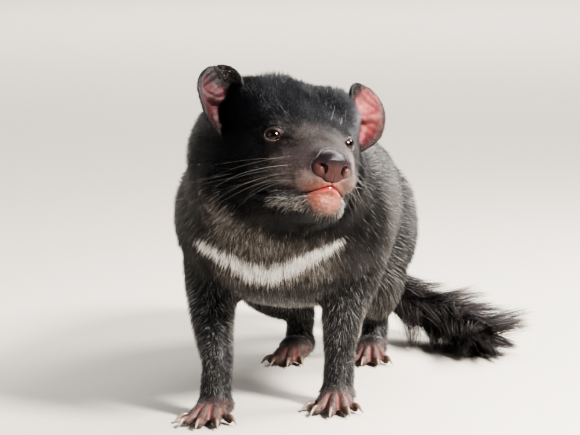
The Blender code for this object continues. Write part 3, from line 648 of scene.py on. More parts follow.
@dataclass
class Markings:
    """Colours and bare patches, as fields over the body that the skin and the coat both read."""

    anatomy: Anatomy
    black: Colour = (0.0062, 0.0065, 0.0088)
    brown: Colour = (0.048, 0.038, 0.035)
    mauve: Colour = (0.190, 0.150, 0.147)
    umber: Colour = (0.085, 0.068, 0.059)
    grizzle: Colour = (0.034, 0.034, 0.036)
    silver: Colour = (0.44, 0.43, 0.42)
    white: Colour = (0.97, 0.95, 0.90)
    beard_hair: Colour = (0.62, 0.58, 0.55)
    skin: SkinTones = SkinTones()

    def chest_band(self, points: Array) -> Array:
        """1 in the crescent across the chest, 0 outside: |z - mid(x)| under a width that narrows to its ends.

        mid(x) = 0.1345 + 0.30 d + 2.4 d^2 with d = |x - 0.002|, on the front of the breast only.
        """
        p = self.anatomy.drawing(points)
        d = np.abs(p[:, 0] - 0.002)
        middle = 0.1345 + 0.30 * d + 2.4 * d**2
        half = 0.0068 * np.sqrt(np.clip(1 - (d / 0.064) ** 2, 0, 1))
        ragged = 0.0012 * waves(p, 0.009, 31)
        inside = ease(np.abs(p[:, 2] - middle) + ragged, half + 0.0010, half - 0.0010)
        return inside * (p[:, 1] < -0.045) * (d < 0.064)

    def bare_face(self, points: Array) -> Array:
        """How bare the skin of the face is: 1 round the nose and on the lips, less back along the muzzle."""
        h = self.anatomy.in_head(points)
        muzzle = ease(h[:, 1], -0.034, -0.074)
        return np.clip(muzzle + self.chin(points) + 0.7 * self.eye_skin(points), 0, 1)

    def chin(self, points: Array) -> Array:
        """1 on the bare pad of the chin under the front of the mouth."""
        h = self.anatomy.in_head(points)
        apart = np.sqrt((h[:, 0] / 0.0142) ** 2 + ((h[:, 2] + 0.0280) / 0.0112) ** 2)
        return ease(apart + 0.06 * waves(points, 0.005, 23), 1.10, 0.78) * ease(h[:, 1], -0.058, -0.067)

    def lips(self, points: Array) -> Array:
        """1 within about 2 mm of the line between the lips, strongest at the front."""
        front = ease(self.anatomy.in_head(points)[:, 1], 0.0, -0.02)
        return ease(self.mouth_gap(points), 0.0036, 0.0014) * front

    def mouth_gap(self, points: Array) -> Array:
        """How far points lie from the line between the lips, with the squares of x and y weighted by 0.3."""
        line = self.anatomy.mouth_line(np.linspace(-1, 1, 161))
        apart = self.anatomy.in_head(points)[:, None, :] - line[None]
        return np.sqrt((apart**2 * (0.3, 0.3, 1.0)).sum(2)).min(1)

    def eye_skin(self, points: Array) -> Array:
        """1 on the thin skin round the eyes, widest towards the inner corner."""
        best = np.zeros(len(points))
        for side in Side:
            e = self.anatomy.in_eye(points, side)
            inner = -side.value * e[:, 0]
            apart = np.sqrt(((inner - 0.0022) / 0.0112) ** 2 + ((e[:, 2] + 0.0014) / 0.0074) ** 2)
            best = np.maximum(best, ease(apart, 1.20, 0.80) * (e[:, 1] < 0.008))
        return best

    def paws(self, points: Array) -> Array:
        """1 on the toes and the soles, fading out over the paws' tops."""
        return ease(self.anatomy.drawing(points)[:, 2], 0.024, 0.012)

    def throat(self, points: Array) -> Array:
        """How brown-grey the throat and the breast are, behind the underside of the jaw, which stays black: its
        own black fur, with painted shade under the jaw. The grey stops nearer the middle on the animal's right,
        as painted shade on that side.
        """
        p = self.anatomy.drawing(points)
        behind = ease(self.anatomy.in_head(points)[:, 1] + 0.006 * waves(points, 0.014, 21), -0.002, 0.030)
        above = ease(p[:, 2], 0.225, 0.190) * ease(p[:, 2] + 0.004 * waves(points, 0.012, 27), 0.118, 0.134)
        # The grey reaches less far on the animal's right (x < 0) than on its left: painted shade on the right
        # side.
        across = ease(p[:, 0], 0.075, 0.045) * ease(p[:, 0], -0.062, -0.020)
        return ease(p[:, 1], -0.040, -0.080) * above * across * behind

    def flank(self, points: Array) -> Array:
        """How silvered the neck, shoulders and flanks are: 0 on the head and 0.20 along the back. The silver is
        partly the coat's own grey hairs and partly painted sheen of light on black hair.
        """
        p = self.anatomy.drawing(points)
        behind = ease(self.anatomy.in_head(points)[:, 1] + 0.014 * waves(points, 0.02, 22), 0.015, 0.130)
        return behind * (0.20 + 0.80 * ease(np.abs(p[:, 0]), 0.020, 0.070))

    def legs(self, points: Array) -> Array:
        """1 on the legs and feet, where grey hairs are mixed with the black ones: partly the coat's own grey,
        partly painted sheen.
        """
        return ease(self.anatomy.drawing(points)[:, 2], 0.135, 0.085)

    def coat_colours(self, roots: Array, draw: np.random.Generator) -> Array:
        """The colour of each tuft.

        Args:
            roots: where the tufts grow.
            draw: the source of the tufts' own variation.

        Returns:
            Rows of linear colours: black, warmer on the muzzle and throat, grizzled with pale hairs on the
                throat and legs, and white in the crescent. The grizzle and silver hairs of the neck, flanks and
                legs are partly the coat's own grey and partly painted sheen, with fewer of them on the animal's
                right as painted shade.
        """
        h = self.anatomy.in_head(roots)
        flank, legs, throat = self.flank(roots), self.legs(roots), self.throat(roots)
        patchy = 0.007 * waves(roots, 0.016, 8)
        colour = layered(
            self.black,
            (self.brown, ease(h[:, 1] + patchy, -0.016, -0.046) * ease(h[:, 2], -0.040, -0.024)),
            (self.mauve, self.muzzle_side(roots)),
            (self.grizzle, np.maximum(flank, legs)),
            (self.umber, throat),
        )
        streaks = 1 + 0.22 * waves(roots, 0.05, 5) + 0.18 * waves(roots * (1, 1, 0.3), 0.007, 6)
        colour *= (np.exp(draw.normal(0, 0.42, len(roots))) * streaks)[:, None].clip(0.25, 3)
        # Fewer silver hairs on the flanks towards the animal's right, which faces away from the key light:
        # painted shade on that side and painted sheen on the left.
        painted_sunlit_side = 0.22 + 0.78 * ease(self.anatomy.drawing(roots)[:, 0], -0.05, 0.05)
        grey = np.max([0.34 * throat, 0.27 * legs, 0.20 * flank * painted_sunlit_side], axis=0)
        for share, bounds, tone, swing in (
            (0.002 + grey * streaks, (0.0, 1.0), self.silver, (0.3, 1.2)),
            (0.68 * self.beard(roots), (0.0, 1.0), self.beard_hair, (0.35, 1.15)),
            (self.chest_band(roots), (0.2, 0.8), self.white, (0.86, 1.0)),
        ):
            chosen = share > draw.uniform(*bounds, len(roots))
            colour[chosen] = np.array(tone) * draw.uniform(*swing, (chosen.sum(), 1))
        return colour

    def muzzle_side(self, points: Array) -> Array:
        """1 on the thinly haired, pale sides of the muzzle, between the whiskers and the nose."""
        h = self.anatomy.in_head(points)
        along = ease(h[:, 1] + 0.005 * waves(points, 0.012, 26), -0.034, -0.050)
        across = ease(np.abs(h[:, 0]), 0.012, 0.020)
        return along * ease(h[:, 2], 0.016, 0.002) * ease(h[:, 2], -0.026, -0.018) * across

    def beard(self, points: Array) -> Array:
        """1 on the sides of the lower jaw just under the lips, where the hair is pale."""
        h = self.anatomy.in_head(points)
        along = ease(h[:, 1], -0.076, -0.068) * ease(h[:, 1], -0.028, -0.042)
        return along * ease(h[:, 2], -0.0225, -0.0255) * ease(h[:, 2], -0.0400, -0.0330)

    def skin_colours(self, points: Array) -> Array:
        """The colour of the skin at each point: dark under the coat, brown-pink where it is bare."""
        h = self.anatomy.in_head(points)
        y, z = h[:, 1], h[:, 2]
        tone = self.skin
        pad = layered(tone.chin, (tone.under_chin, ease(z, -0.025, -0.037)))
        pad *= (1 + 0.22 * waves(points, 0.0035, 17) + 0.12 * waves(points, 0.0016, 18))[:, None]
        toes = np.array(tone.toes) * (1 + 0.25 * waves(points, 0.006, 24))[:, None]
        red = ease(self.mouth_gap(points), 0.0105, 0.0030) * ease(y, -0.056, -0.070)
        return layered(
            tone.hidden,
            (tone.muzzle, ease(y, -0.018, -0.050) * ease(z, -0.040, -0.024)),
            (tone.front, ease(y, -0.052, -0.078) * ease(z, 0.010, -0.010)),
            (tone.whisker_pad, 0.8 * self.muzzle_side(points)),
            (tone.round_mouth, 0.85 * red),
            (tone.round_eyes, 0.75 * self.eye_skin(points)),
            (tone.beside_nose, 0.92 * (ease(NoseForm().share(h), 1.40, 1.08) * ease(z, -0.012, -0.004))),
            (pad, 0.95 * self.chin(points)),
            (tone.lip, self.lips(points) * ease(y, -0.045, -0.068)),
            (tone.mouth_corner, 0.8 * self.lips(points) * ease(y, -0.055, -0.030)),
            (toes, self.paws(points)),
            (tone.toe_gaps, 0.75 * self.paws(points) * self.toe_gaps(points)),
            (tone.crescent, 0.9 * self.chest_band(points)),
        )

    def toe_gaps(self, points: Array) -> Array:
        """1 in the folds between the toes: exp(-(across / 1.8 mm)^2) from the lines midway between them."""
        gaps = np.zeros(len(points))
        for foot in FEET:
            f = moved(self.anatomy.drawing(points), np.linalg.inv(foot.matrix()))
            near = np.flatnonzero((f[:, 2] < 0.026) & (np.hypot(f[:, 0], f[:, 1]) < 0.055))
            part = f[near]
            angle = np.arctan2(foot.side.value * part[:, 0], -part[:, 1])
            reach = np.hypot(part[:, 0], part[:, 1])
            ways = np.radians([toe[0] for toe in foot.toes])
            for middle in (ways[1:] + ways[:-1]) / 2:
                across = reach * np.sin(np.clip(angle - middle, -1.2, 1.2))
                gaps[near] = np.maximum(gaps[near], hill(across, 0.0018) * ease(reach, 0.012, 0.022))
        return gaps


@dataclass(frozen=True)
class Finish:
    """A surface: the name of its material, how glossy it is, and how large and how deep its grain is."""

    name: str
    roughness: float
    specular: float
    grain_size: float = 0.0015
    grain_depth: float = 0.0
    grain_strength: float = 0.8
    tone_swing: float = 0.25
    coat: float = 0.0
    coat_roughness: float = 0.08
    sheen: float = 0.0
    sheen_roughness: float = 0.4
    subsurface: float = 0.0
    subsurface_radius: Point = (0.004, 0.0015, 0.001)


COAT_FINISH = Finish("coat", 0.40, 0.36, tone_swing=0.18)
TAIL_FINISH = replace(COAT_FINISH, name="tail_hair")
BODY_FINISH = Finish("body_coat", 0.36, 0.75, tone_swing=0.18, sheen=0.015)
SKIN_FINISH = Finish("skin", 0.50, 0.40, 0.0011, 0.00022, subsurface=0.08)
NOSE_FINISH = Finish("nose_leather", 0.31, 0.26, 0.0007, 0.00016)
LIP_FINISH = Finish("lips", 0.14, 0.60, 0.0020, 0.00010, coat=0.90)
EAR_FINISH = Finish("ear", 0.60, 0.30, 0.0016, 0.00016, subsurface=0.18)
LID_FINISH = Finish("lids", 0.32, 0.40, 0.0012, 0.00006, coat=0.20)
EYE_FINISH = Finish("eye", 0.03, 0.45, tone_swing=0.30)
CLAW_FINISH = Finish("claw", 0.33, 0.50, 0.0012, 0.00008, coat=0.20)
WHISKER_FINISH = Finish("whisker", 0.30, 0.50, tone_swing=0.10)


def new_node(tree: bpy.types.NodeTree, kind: str, **values: float | Colour) -> Node:
    """A shader node, with values on its inputs, whose names have _ for a space."""
    node = tree.nodes.new("ShaderNode" + kind)
    for name, value in values.items():
        node.inputs[name.replace("_", " ")].default_value = value
    return node


def wired(tree: bpy.types.NodeTree, *wires: tuple[Node, str | int, Node, str | int]) -> None:
    """Links an output of one node to an input of another, for each wire."""
    for source, out, target, into in wires:
        tree.links.new(source.outputs[out], target.inputs[into])


def mottle_group() -> bpy.types.NodeTree:
    """The shared shader group that varies a colour and gives a grain: built once.

    Returns:
        A group that takes a colour, the size of the grain and the swing of the tone, and gives the colour
        with blotches over it and a height for bump.
    """
    found = bpy.data.node_groups.get("mottle")
    if found:
        return found
    group = bpy.data.node_groups.new("mottle", "ShaderNodeTree")
    for name, kind, way in (
        ("Color", "NodeSocketColor", "INPUT"),
        ("Grain Scale", "NodeSocketFloat", "INPUT"),
        ("Tone Swing", "NodeSocketFloat", "INPUT"),
        ("Color", "NodeSocketColor", "OUTPUT"),
        ("Height", "NodeSocketFloat", "OUTPUT"),
    ):
        group.interface.new_socket(name=name, in_out=way, socket_type=kind)
    given, made = group.nodes.new("NodeGroupInput"), group.nodes.new("NodeGroupOutput")
    place, pores = new_node(group, "TexCoord"), new_node(group, "TexVoronoi")
    blotch = new_node(group, "TexNoise", Scale=120.0, Detail=5.0)
    fine = new_node(group, "TexNoise", Detail=3.0)
    swing, tone, height = (new_node(group, "Math") for _ in range(3))
    swing.operation, tone.operation, height.operation = "MULTIPLY_ADD", "MULTIPLY_ADD", "ADD"
    swing.inputs[1].default_value, swing.inputs[2].default_value = 4.0, -2.0
    tone.inputs[2].default_value = 1.0
    scale = new_node(group, "VectorMath")
    scale.operation = "SCALE"
    wired(
        group,
        *((place, "Object", node, "Vector") for node in (blotch, pores, fine)),
        *((given, "Grain Scale", node, "Scale") for node in (pores, fine)),
        (blotch, "Fac", swing, 0),
        (swing, 0, tone, 0),
        (given, "Tone Swing", tone, 1),
        (given, "Color", scale, 0),
        (tone, 0, scale, "Scale"),
        (scale, "Vector", made, "Color"),
        (pores, "Distance", height, 0),
        (fine, "Fac", height, 1),
        (height, 0, made, "Height"),
    )
    return group


def mottled(tree: bpy.types.NodeTree, grain: float, swing: float) -> Node:
    """The shared group placed in a material, with the scale of its grain and the swing of its tone."""
    node = tree.nodes.new("ShaderNodeGroup")
    node.node_tree = mottle_group()
    node.inputs["Grain Scale"].default_value = grain
    node.inputs["Tone Swing"].default_value = swing
    return node


def painted(finish: Finish) -> bpy.types.Material:
    """A material that takes its colour from the mesh's own colours and varies it.

    Args:
        finish: its name, gloss and grain.

    Returns:
        The material, the same one each time for a finish.
    """
    found = bpy.data.materials.get(finish.name + "_finish")
    if found:
        return found
    made = bpy.data.materials.new(finish.name + "_finish")
    made.use_nodes = True
    tree = made.node_tree
    shader = tree.nodes["Principled BSDF"]
    for socket, value in (
        ("Roughness", finish.roughness),
        ("Specular IOR Level", finish.specular),
        ("Coat Weight", finish.coat),
        ("Coat Roughness", finish.coat_roughness),
        ("Sheen Weight", finish.sheen),
        ("Sheen Roughness", finish.sheen_roughness),
        ("Subsurface Weight", finish.subsurface),
        ("Subsurface Radius", finish.subsurface_radius),
        ("Subsurface Scale", 1.0),
    ):
        shader.inputs[socket].default_value = value
    tint = new_node(tree, "Attribute")
    tint.attribute_name = TINT
    mottle = mottled(tree, 1 / finish.grain_size, finish.tone_swing)
    wired(tree, (tint, "Color", mottle, "Color"), (mottle, "Color", shader, "Base Color"))
    if finish.grain_depth:
        bump = new_node(tree, "Bump", Distance=finish.grain_depth, Strength=finish.grain_strength)
        wired(tree, (mottle, "Height", bump, "Height"), (bump, "Normal", shader, "Normal"))
    return made


def dressed(name: str, mesh: Mesh, finish: Finish, slot: str, *nodes: str) -> Object:
    """A finished piece from its mesh.

    Args:
        name: the piece's name.
        mesh: its shape and colours.
        finish: its surface.
        slot: not used; the record's slot that the piece would take its finish from.
        nodes: the solids' nodes that it stands for.

    Returns:
        The piece, at the origin, on the one body.
    """
    obj = made_object(name, mesh)
    obj.data.materials.clear()
    obj.data.materials.append(painted(finish))
    if nodes:
        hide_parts(*nodes)
    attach(obj, ROOT)
    LOG.info("%s: %d triangles", obj.name, len(triangles_of(obj.data)))
    return obj


def finished(name: str, shape: Shape, tint: Array, finish: Finish, slot: str,
             *nodes: str) -> Object:
    """A finished piece from points and faces, with a colour at each point; the rest is as in dressed."""
    mesh = made_mesh(name, *shape)
    set_colours(mesh, tint)
    return dressed(name, mesh, finish, slot, *nodes)


@dataclass
class Skin:
    """One skin over the whole body: the flesh nodes fused by a fine remesh, let in by the coat's depth,
    thinned where the coat hides it, and shaped on the face."""

    anatomy: Anatomy
    lie: Lie
    markings: Markings
    voxel: float = 0.0014
    rounds: int = 9
    seam_rounds: int = 30
    sunk_rounds: int = 3
    triangles: int = 112_000

    def flesh(self, frame: dict) -> Shape:
        """The flesh, the eyes and the nose as one merged shape, with the tail and a plug in the mouth."""
        nodes = [frame["nodes"][name].data for name in (*FLESH, "eye_left", "eye_right", "nose")]
        points, faces = joined([(vertex_points(mesh), triangles_of(mesh)) for mesh in nodes])
        _, first, same = np.unique(np.round(points, 6), axis=0, return_index=True, return_inverse=True)
        tail = hose(*Tail().curve(self.anatomy, 40), 20)
        return joined([(points[first], same.reshape(-1)[faces]), tail, self.mouth_plug()])

    def mouth_plug(self) -> Shape:
        """A bent bar that fills the solids' slit between the lips to just under the skin."""
        share = np.linspace(-1.02, 1.02, 41)
        line = self.anatomy.mouth_line(np.clip(share, -1, 1))
        line[:, 0] *= np.where(np.abs(share) > 1, 1.03, 1)
        reach = np.abs(share)
        outer = 0.93 - 0.13 * np.sin(np.clip(reach, 0, 1) * math.pi) ** 1.2
        inner = np.full_like(outer, 0.62)
        corners = []
        for depth, up in ((outer, -1), (outer, 1), (inner, 1), (inner, -1)):
            point = line * np.stack([depth, depth, np.ones_like(depth)], 1)
            point[:, 2] += up * 0.0022 - 0.0012
            corners.append(point)
        points, faces = closed_tube(np.stack(corners, 1))
        return self.anatomy.from_head(points), faces

    def build(self, frame: dict) -> Object:
        """Makes the skin.


        Returns:
            The finished object.
        """
        fused = made_object("fused", made_mesh("fused", *self.flesh(frame)))
        remesh = fused.modifiers.new("Remesh", "REMESH")
        remesh.mode = "VOXEL"
        remesh.voxel_size = self.voxel
        mesh = self.largest(evaluated(fused))
        points, edges = vertex_points(mesh), self.edges(mesh)
        h = self.anatomy.in_head(points)
        seam = ease(self.mouth_distance(h)[0], 0.009, 0.004)
        fine = np.maximum(self.markings.paws(points), ease(h[:, 1], -0.010, -0.040) * (h[:, 2] > -0.06))
        points = relaxed(points, edges, self.rounds, 0.5 - 0.32 * fine)
        crown = ease(h[:, 2], 0.020, 0.034) * ease(h[:, 1], 0.095, 0.070)
        points = relaxed(points, edges, self.seam_rounds, 0.6 * np.maximum(seam, crown))
        self.set_points(mesh, points)
        thick = self.lie.sizes_at(points)[:, 1]
        points = points - vertex_normals(mesh) * thick[:, None]
        points = relaxed(points, edges, self.sunk_rounds, np.full(len(points), 0.4))
        self.set_points(mesh, points)
        mesh = self.refined(self.thinned(mesh))
        points = self.shaped(vertex_points(mesh), vertex_normals(mesh))
        self.set_points(mesh, points)
        mesh.shade_smooth()
        set_colours(mesh, self.markings.skin_colours(points))
        return dressed("skin", mesh, SKIN_FINISH, "coat", *FLESH)

    @staticmethod
    def edges(mesh: Mesh) -> Array:
        """The mesh's edges as rows of two vertex numbers."""
        return rows_of(mesh.edges, "vertices", 2)

    @staticmethod
    def set_points(mesh: Mesh, points: Array) -> None:
        """Puts the vertices where the rows say."""
        mesh.vertices.foreach_set("co", points.astype(np.float32).ravel())
        mesh.update()

    def largest(self, mesh: Mesh) -> Mesh:
        """The largest connected surface of the mesh, found by spreading the lowest number along edges."""
        edges = self.edges(mesh)
        label = np.arange(len(mesh.vertices))
        while True:
            low = np.minimum(label[edges[:, 0]], label[edges[:, 1]])
            new = label.copy()
            np.minimum.at(new, edges[:, 0], low)
            np.minimum.at(new, edges[:, 1], low)
            new = new[new]
            if np.array_equal(new, label):
                break
            label = new
        keep = label == np.bincount(label).argmax()
        number = np.cumsum(keep) - 1
        quads = rows_of(mesh.loops, "vertex_index", 1).reshape(-1, 4)
        return made_mesh("skin", vertex_points(mesh)[keep], number[quads[keep[quads[:, 0]]]])

    def thinned(self, mesh: Mesh) -> Mesh:
        """Fewer triangles on the trunk and legs, with the head and the paws left as fine as they are."""
        points = vertex_points(mesh)
        p, h = self.anatomy.drawing(points), self.anatomy.in_head(points)
        fine = (ease(h[:, 1], 0.030, 0.010) * ease(h[:, 2], -0.075, -0.062) > 0.5) | (p[:, 2] < 0.030)
        obj = made_object("thinned", mesh)
        group = obj.vertex_groups.new(name="coarse")
        group.add(np.flatnonzero(~fine).tolist(), 1.0, "REPLACE")
        decimate = obj.modifiers.new("Decimate", "DECIMATE")
        decimate.ratio = self.triangles / (2 * len(mesh.polygons))
        decimate.vertex_group = group.name
        decimate.vertex_group_factor = 1.0
        decimate.use_collapse_triangulate = True
        return evaluated(obj)

    def refined(self, mesh: Mesh) -> Mesh:
        """Each triangle of the front of the face split in four, with its neighbours fitted by triangles."""
        shape = bmesh.new()
        shape.from_mesh(mesh)
        h = self.anatomy.in_head(vertex_points(mesh))
        front = (h[:, 1] < -0.012) & (h[:, 2] > -0.045) & (h[:, 2] < 0.036)
        chosen = [edge for edge in shape.edges if all(front[corner.index] for corner in edge.verts)]
        bmesh.ops.subdivide_edges(shape, edges=chosen, cuts=1, use_grid_fill=True)
        bmesh.ops.triangulate(shape, faces=shape.faces)
        made = bpy.data.meshes.new("skin")
        shape.to_mesh(made)
        shape.free()
        return made

    def mouth_distance(self, h: Array) -> tuple[Array, Array]:
        """How far points of the head's frame lie from the mouth's line, and how far above it."""
        line = self.anatomy.mouth_line(np.linspace(-1, 1, 201))
        near = np.abs(h[:, 1] + 0.045) < 0.05
        apart, above = np.full(len(h), 1.0), np.zeros(len(h))
        part = h[near]
        gaps = ((part[:, None, :2] - line[None, :, :2]) ** 2).sum(2)
        best = gaps.argmin(1)
        rise = part[:, 2] - line[best, 2]
        flat = np.clip(np.sqrt(gaps[np.arange(len(part)), best]) - 0.010, 0, None)
        apart[near], above[near] = np.hypot(flat, rise), rise
        return apart, above

    def shaped(self, points: Array, normals: Array) -> Array:
        """The skin with its lips, chin, wrinkles, eye sockets and lids.

        Args:
            points: the smooth skin.
            normals: its normals.

        Returns:
            The points moved along their normals by a sum of bells, and round each eye on to the ball.
        """
        h = self.anatomy.in_head(points)
        apart, above = self.mouth_distance(h)
        open_at = ease(apart - np.abs(above), 0.004, 0.0015)
        inside = ease(h[:, 1], -0.006, -0.018)
        lift = -0.0019 * hill(above, 0.00085) * open_at
        lift += 0.0010 * hill(above - 0.0030, 0.0024) * open_at
        lift += 0.0011 * hill(above + 0.0032, 0.0022) * open_at
        lift = lift * inside
        chin = self.markings.chin(points)
        lift += chin * (0.00022 * waves(points, 0.0030, 19) + 0.00012 * waves(points, 0.0013, 20))
        smooth = 1 - chin
        lift += 0.00012 * waves(points, 0.0045, 3) * ease(h[:, 1], -0.010, -0.040) * (h[:, 2] < 0.02) * smooth
        centre = np.abs(h[:, 0])
        between = ease(h[:, 2], -0.008, -0.012) * ease(h[:, 2], -0.0185, -0.0170)
        lift -= 0.0007 * hill(centre, 0.0011) * ease(h[:, 1], -0.070, -0.078) * between
        toes = self.markings.paws(points)
        lift += 0.00018 * toes * waves(points, 0.0030, 9)
        lift -= 0.0026 * toes * self.markings.toe_gaps(points) * (normals[:, 2] > -0.5)
        points = self.under_nose(points + normals * lift[:, None])
        for side in Side:
            points = self.lidded(points, side)
        return points

    def under_nose(self, points: Array) -> Array:
        """Lets the skin in under the leather of the nose, to four fifths of the leather's own reach."""
        form = NoseForm()
        h = self.anatomy.in_head(points)
        near = np.linalg.norm(h - form.middle, axis=1) < 0.022
        part = h[near] - form.middle
        reach = np.linalg.norm(part, axis=1)
        way = part / reach[:, None]
        leather = form.reach(way)
        under = (reach < 1.05 * leather) & (way[:, 1] < 0.40)
        h[near] = form.middle + way * np.where(under, 0.80 * leather, reach)[:, None]
        return self.anatomy.from_head(h)

    def lidded(self, points: Array, side: Side) -> Array:
        """Draws the skin over an eyeball to the lids' edge, and lets it fall behind the ball inside them.

        In the eye's frame, q = sqrt((x/a)^2 + (z/b)^2) is 1 on the edge of the lids. The distance from the
        ball's middle becomes the radius and a lid's thickness outside it, and less than the radius inside.
        """
        matrix = np.array(self.anatomy.eye_matrix(side))
        e = moved(points, np.linalg.inv(matrix))
        wide, high = self.anatomy.lid_opening
        radius = self.anatomy.eye_radius
        near = (np.linalg.norm(e, axis=1) < 0.024) & (e[:, 1] < 0.002)
        part = e[near]
        reach = np.linalg.norm(part, axis=1)
        q = np.sqrt((part[:, 0] / reach * radius / wide) ** 2 + (part[:, 2] / reach * radius / high) ** 2)
        lid = ease(reach, 0.0190, 0.0110) * ease(q, 2.10, 1.15)
        fold = 0.0010 * hill(q - 1.78, 0.13) * (part[:, 2] > 0)
        over = radius + 0.0012 - 0.0005 * hill(q - 1.42, 0.09)
        target = reach * (1 - lid) + over * lid - fold * lid
        target = np.where(q < 1.06, radius - 0.0024, target)
        part = part * (target / reach)[:, None]
        e[near] = part
        return moved(e, matrix)


@dataclass(frozen=True)
class CoatPiece:
    """One piece of the coat: its name, how many tufts it has, and how wide they are at their roots."""

    name: str
    tufts: int
    width: float
    seed: int
    finish: Finish = BODY_FINISH


COAT_PIECES = (
    CoatPiece("coat_face", 46_000, 0.00034, 101, COAT_FINISH),
    CoatPiece("coat_head", 44_000, 0.00036, 102, COAT_FINISH),
    CoatPiece("coat_breast", 42_000, 0.00038, 103),
    CoatPiece("coat_left", 43_000, 0.00040, 104),
    CoatPiece("coat_right", 43_000, 0.00040, 105),
    CoatPiece("coat_rump", 33_000, 0.00042, 106),
    CoatPiece("coat_legs", 45_000, 0.00036, 107),
    CoatPiece("coat_feet", 18_000, 0.00032, 108),
)


class Region(IntEnum):
    """Where each piece of the coat grows, by its place in the table."""

    BARE = -1
    FACE = 0
    HEAD = 1
    BREAST = 2
    LEFT = 3
    RIGHT = 4
    RUMP = 5
    LEGS = 6
    FEET = 7


@dataclass
class Coat:
    """The fur: tufts rooted in the skin that follow its lie, in pieces under 200,000 triangles."""

    anatomy: Anatomy
    lie: Lie
    markings: Markings
    skin: Object
    sink: float = 0.0009
    clump_size: float = 0.010
    floor_clear: float = 0.0006
    points: Array = field(init=False)
    faces: Array = field(init=False)
    corner_uvs: Array = field(init=False)

    def __post_init__(self) -> None:
        """Reads the skin's triangles and unwraps them."""
        self.points = vertex_points(self.skin.data)
        self.faces = triangles_of(self.skin.data)
        self.corner_uvs = self.unwrapped()

    def unwrapped(self) -> Array:
        """The skin's own unwrap: the corners of each triangle in a map of flat islands."""
        mesh = self.skin.data
        mesh.uv_layers.new(name=BAKE_MAP)
        bpy.context.view_layer.objects.active = self.skin
        self.skin.select_set(True)
        bpy.ops.object.mode_set(mode="EDIT")
        bpy.ops.mesh.select_all(action="SELECT")
        bpy.ops.uv.smart_project(angle_limit=math.radians(66), island_margin=0.001)
        bpy.ops.object.mode_set(mode="OBJECT")
        self.skin.select_set(False)
        flat = rows_of(mesh.uv_layers[BAKE_MAP].data, "uv", 2, np.float32)
        mesh.calc_loop_triangles()
        return flat[rows_of(mesh.loop_triangles, "loops", 3)]

    def region(self, middles: Array) -> Array:
        """The region that each triangle of the skin belongs to, from its middle."""
        p, h = self.anatomy.drawing(middles), self.anatomy.in_head(middles)
        number = np.where(p[:, 0] > 0, Region.LEFT, Region.RIGHT)
        number[p[:, 1] > 0.190] = Region.RUMP
        number[(p[:, 2] < 0.105) & (p[:, 1] < 0.290)] = Region.LEGS
        number[(p[:, 1] < 0.010) & (p[:, 2] >= 0.105)] = Region.BREAST
        on_head = (h[:, 1] < 0.058) & (h[:, 2] > -0.062)
        number[on_head] = Region.HEAD
        number[on_head & (h[:, 1] + 0.006 * waves(middles, 0.012, 15) < -0.006)] = Region.FACE
        number[p[:, 2] < 0.034] = Region.FEET
        number[(p[:, 1] > 0.300) & (p[:, 2] < 0.120)] = Region.BARE
        return number

    def density(self, middles: Array, normals: Array) -> Array:
        """How thickly the hair grows on each triangle of the skin.

        Args:
            middles: the triangles' middles.
            normals: their normals.

        Returns:
            1 under full coat, little on lips and chin, and 0 on lids, nose and soles.
        """
        h, height = self.anatomy.in_head(middles), self.anatomy.drawing(middles)[:, 2]
        bare = self.markings.bare_face(middles)
        thick = 1 - 0.55 * ease(h[:, 1], -0.050, -0.080) * (h[:, 2] > -0.05)
        thick *= 1 - 0.97 * self.markings.chin(middles)
        thick *= 1 - 0.90 * self.markings.lips(middles)
        for side in Side:
            e = self.anatomy.in_eye(middles, side)
            ball = np.sqrt((e[:, 0] / 0.0080) ** 2 + ((e[:, 2] + 0.0004) / 0.0056) ** 2)
            thick *= np.where((e[:, 1] < 0.004) & (ball < 1.05), 0.0, 1.0)
        thick *= NoseForm().share(h) > 1.04
        thick *= ~((height < 0.0035) | ((normals[:, 2] < -0.35) & (height < 0.014)))
        thick *= 1 - 0.35 * ease(height, 0.018, 0.010)
        return thick * (1 - 0.75 * self.markings.toe_gaps(middles)) * np.where(bare > 0.99, 0.7, 1.0)

    def rooted(self, piece: CoatPiece, chosen: Array, weight: Array,
               draw: np.random.Generator) -> tuple[Array, ...]:
        """Places for the tufts: even steps along the summed weight of the triangles, at random inside each.

        Args:
            piece: the piece of the coat.
            chosen: the numbers of its triangles.
            weight: how many tufts each triangle of the skin asks for, to any scale.
            draw: the source of the places.

        Returns:
            Roots, normals and places in the unwrap.
        """
        total = np.cumsum(weight[chosen])
        steps = (np.arange(piece.tufts) + draw.uniform(size=piece.tufts)) / piece.tufts * total[-1]
        face = chosen[np.searchsorted(total, steps)]
        u, v = draw.uniform(size=(2, piece.tufts))
        over = u + v > 1
        u[over], v[over] = 1 - u[over], 1 - v[over]
        share = np.stack([1 - u - v, u, v], 1)
        corners = self.points[self.faces[face]]
        normals = unit(np.cross(corners[:, 1] - corners[:, 0], corners[:, 2] - corners[:, 0]))
        roots = (corners * share[..., None]).sum(1)
        return roots, normals, (self.corner_uvs[face] * share[..., None]).sum(1)

    def clumped(self, roots: Array, tips: Array, size: float, pull: Array) -> Array:
        """Tips drawn towards the middle of their clump's, a cell of a grid bent by waves.

        Args:
            roots: the tufts' roots.
            tips: their tips.
            size: how large a clump is.
            pull: how far each tip is drawn, 1 being all the way.

        Returns:
            The drawn tips.
        """
        bent = roots + 0.5 * size * np.stack([waves(roots, size * 3, seed) for seed in (71, 72, 73)], 1)
        _, cell = np.unique(np.floor(bent / size).astype(int), axis=0, return_inverse=True)
        cell = cell.reshape(-1)
        count = np.bincount(cell)
        middle = np.stack([np.bincount(cell, tips[:, k]) / count for k in range(3)], 1)
        return tips + pull[:, None] * (middle[cell] - tips)

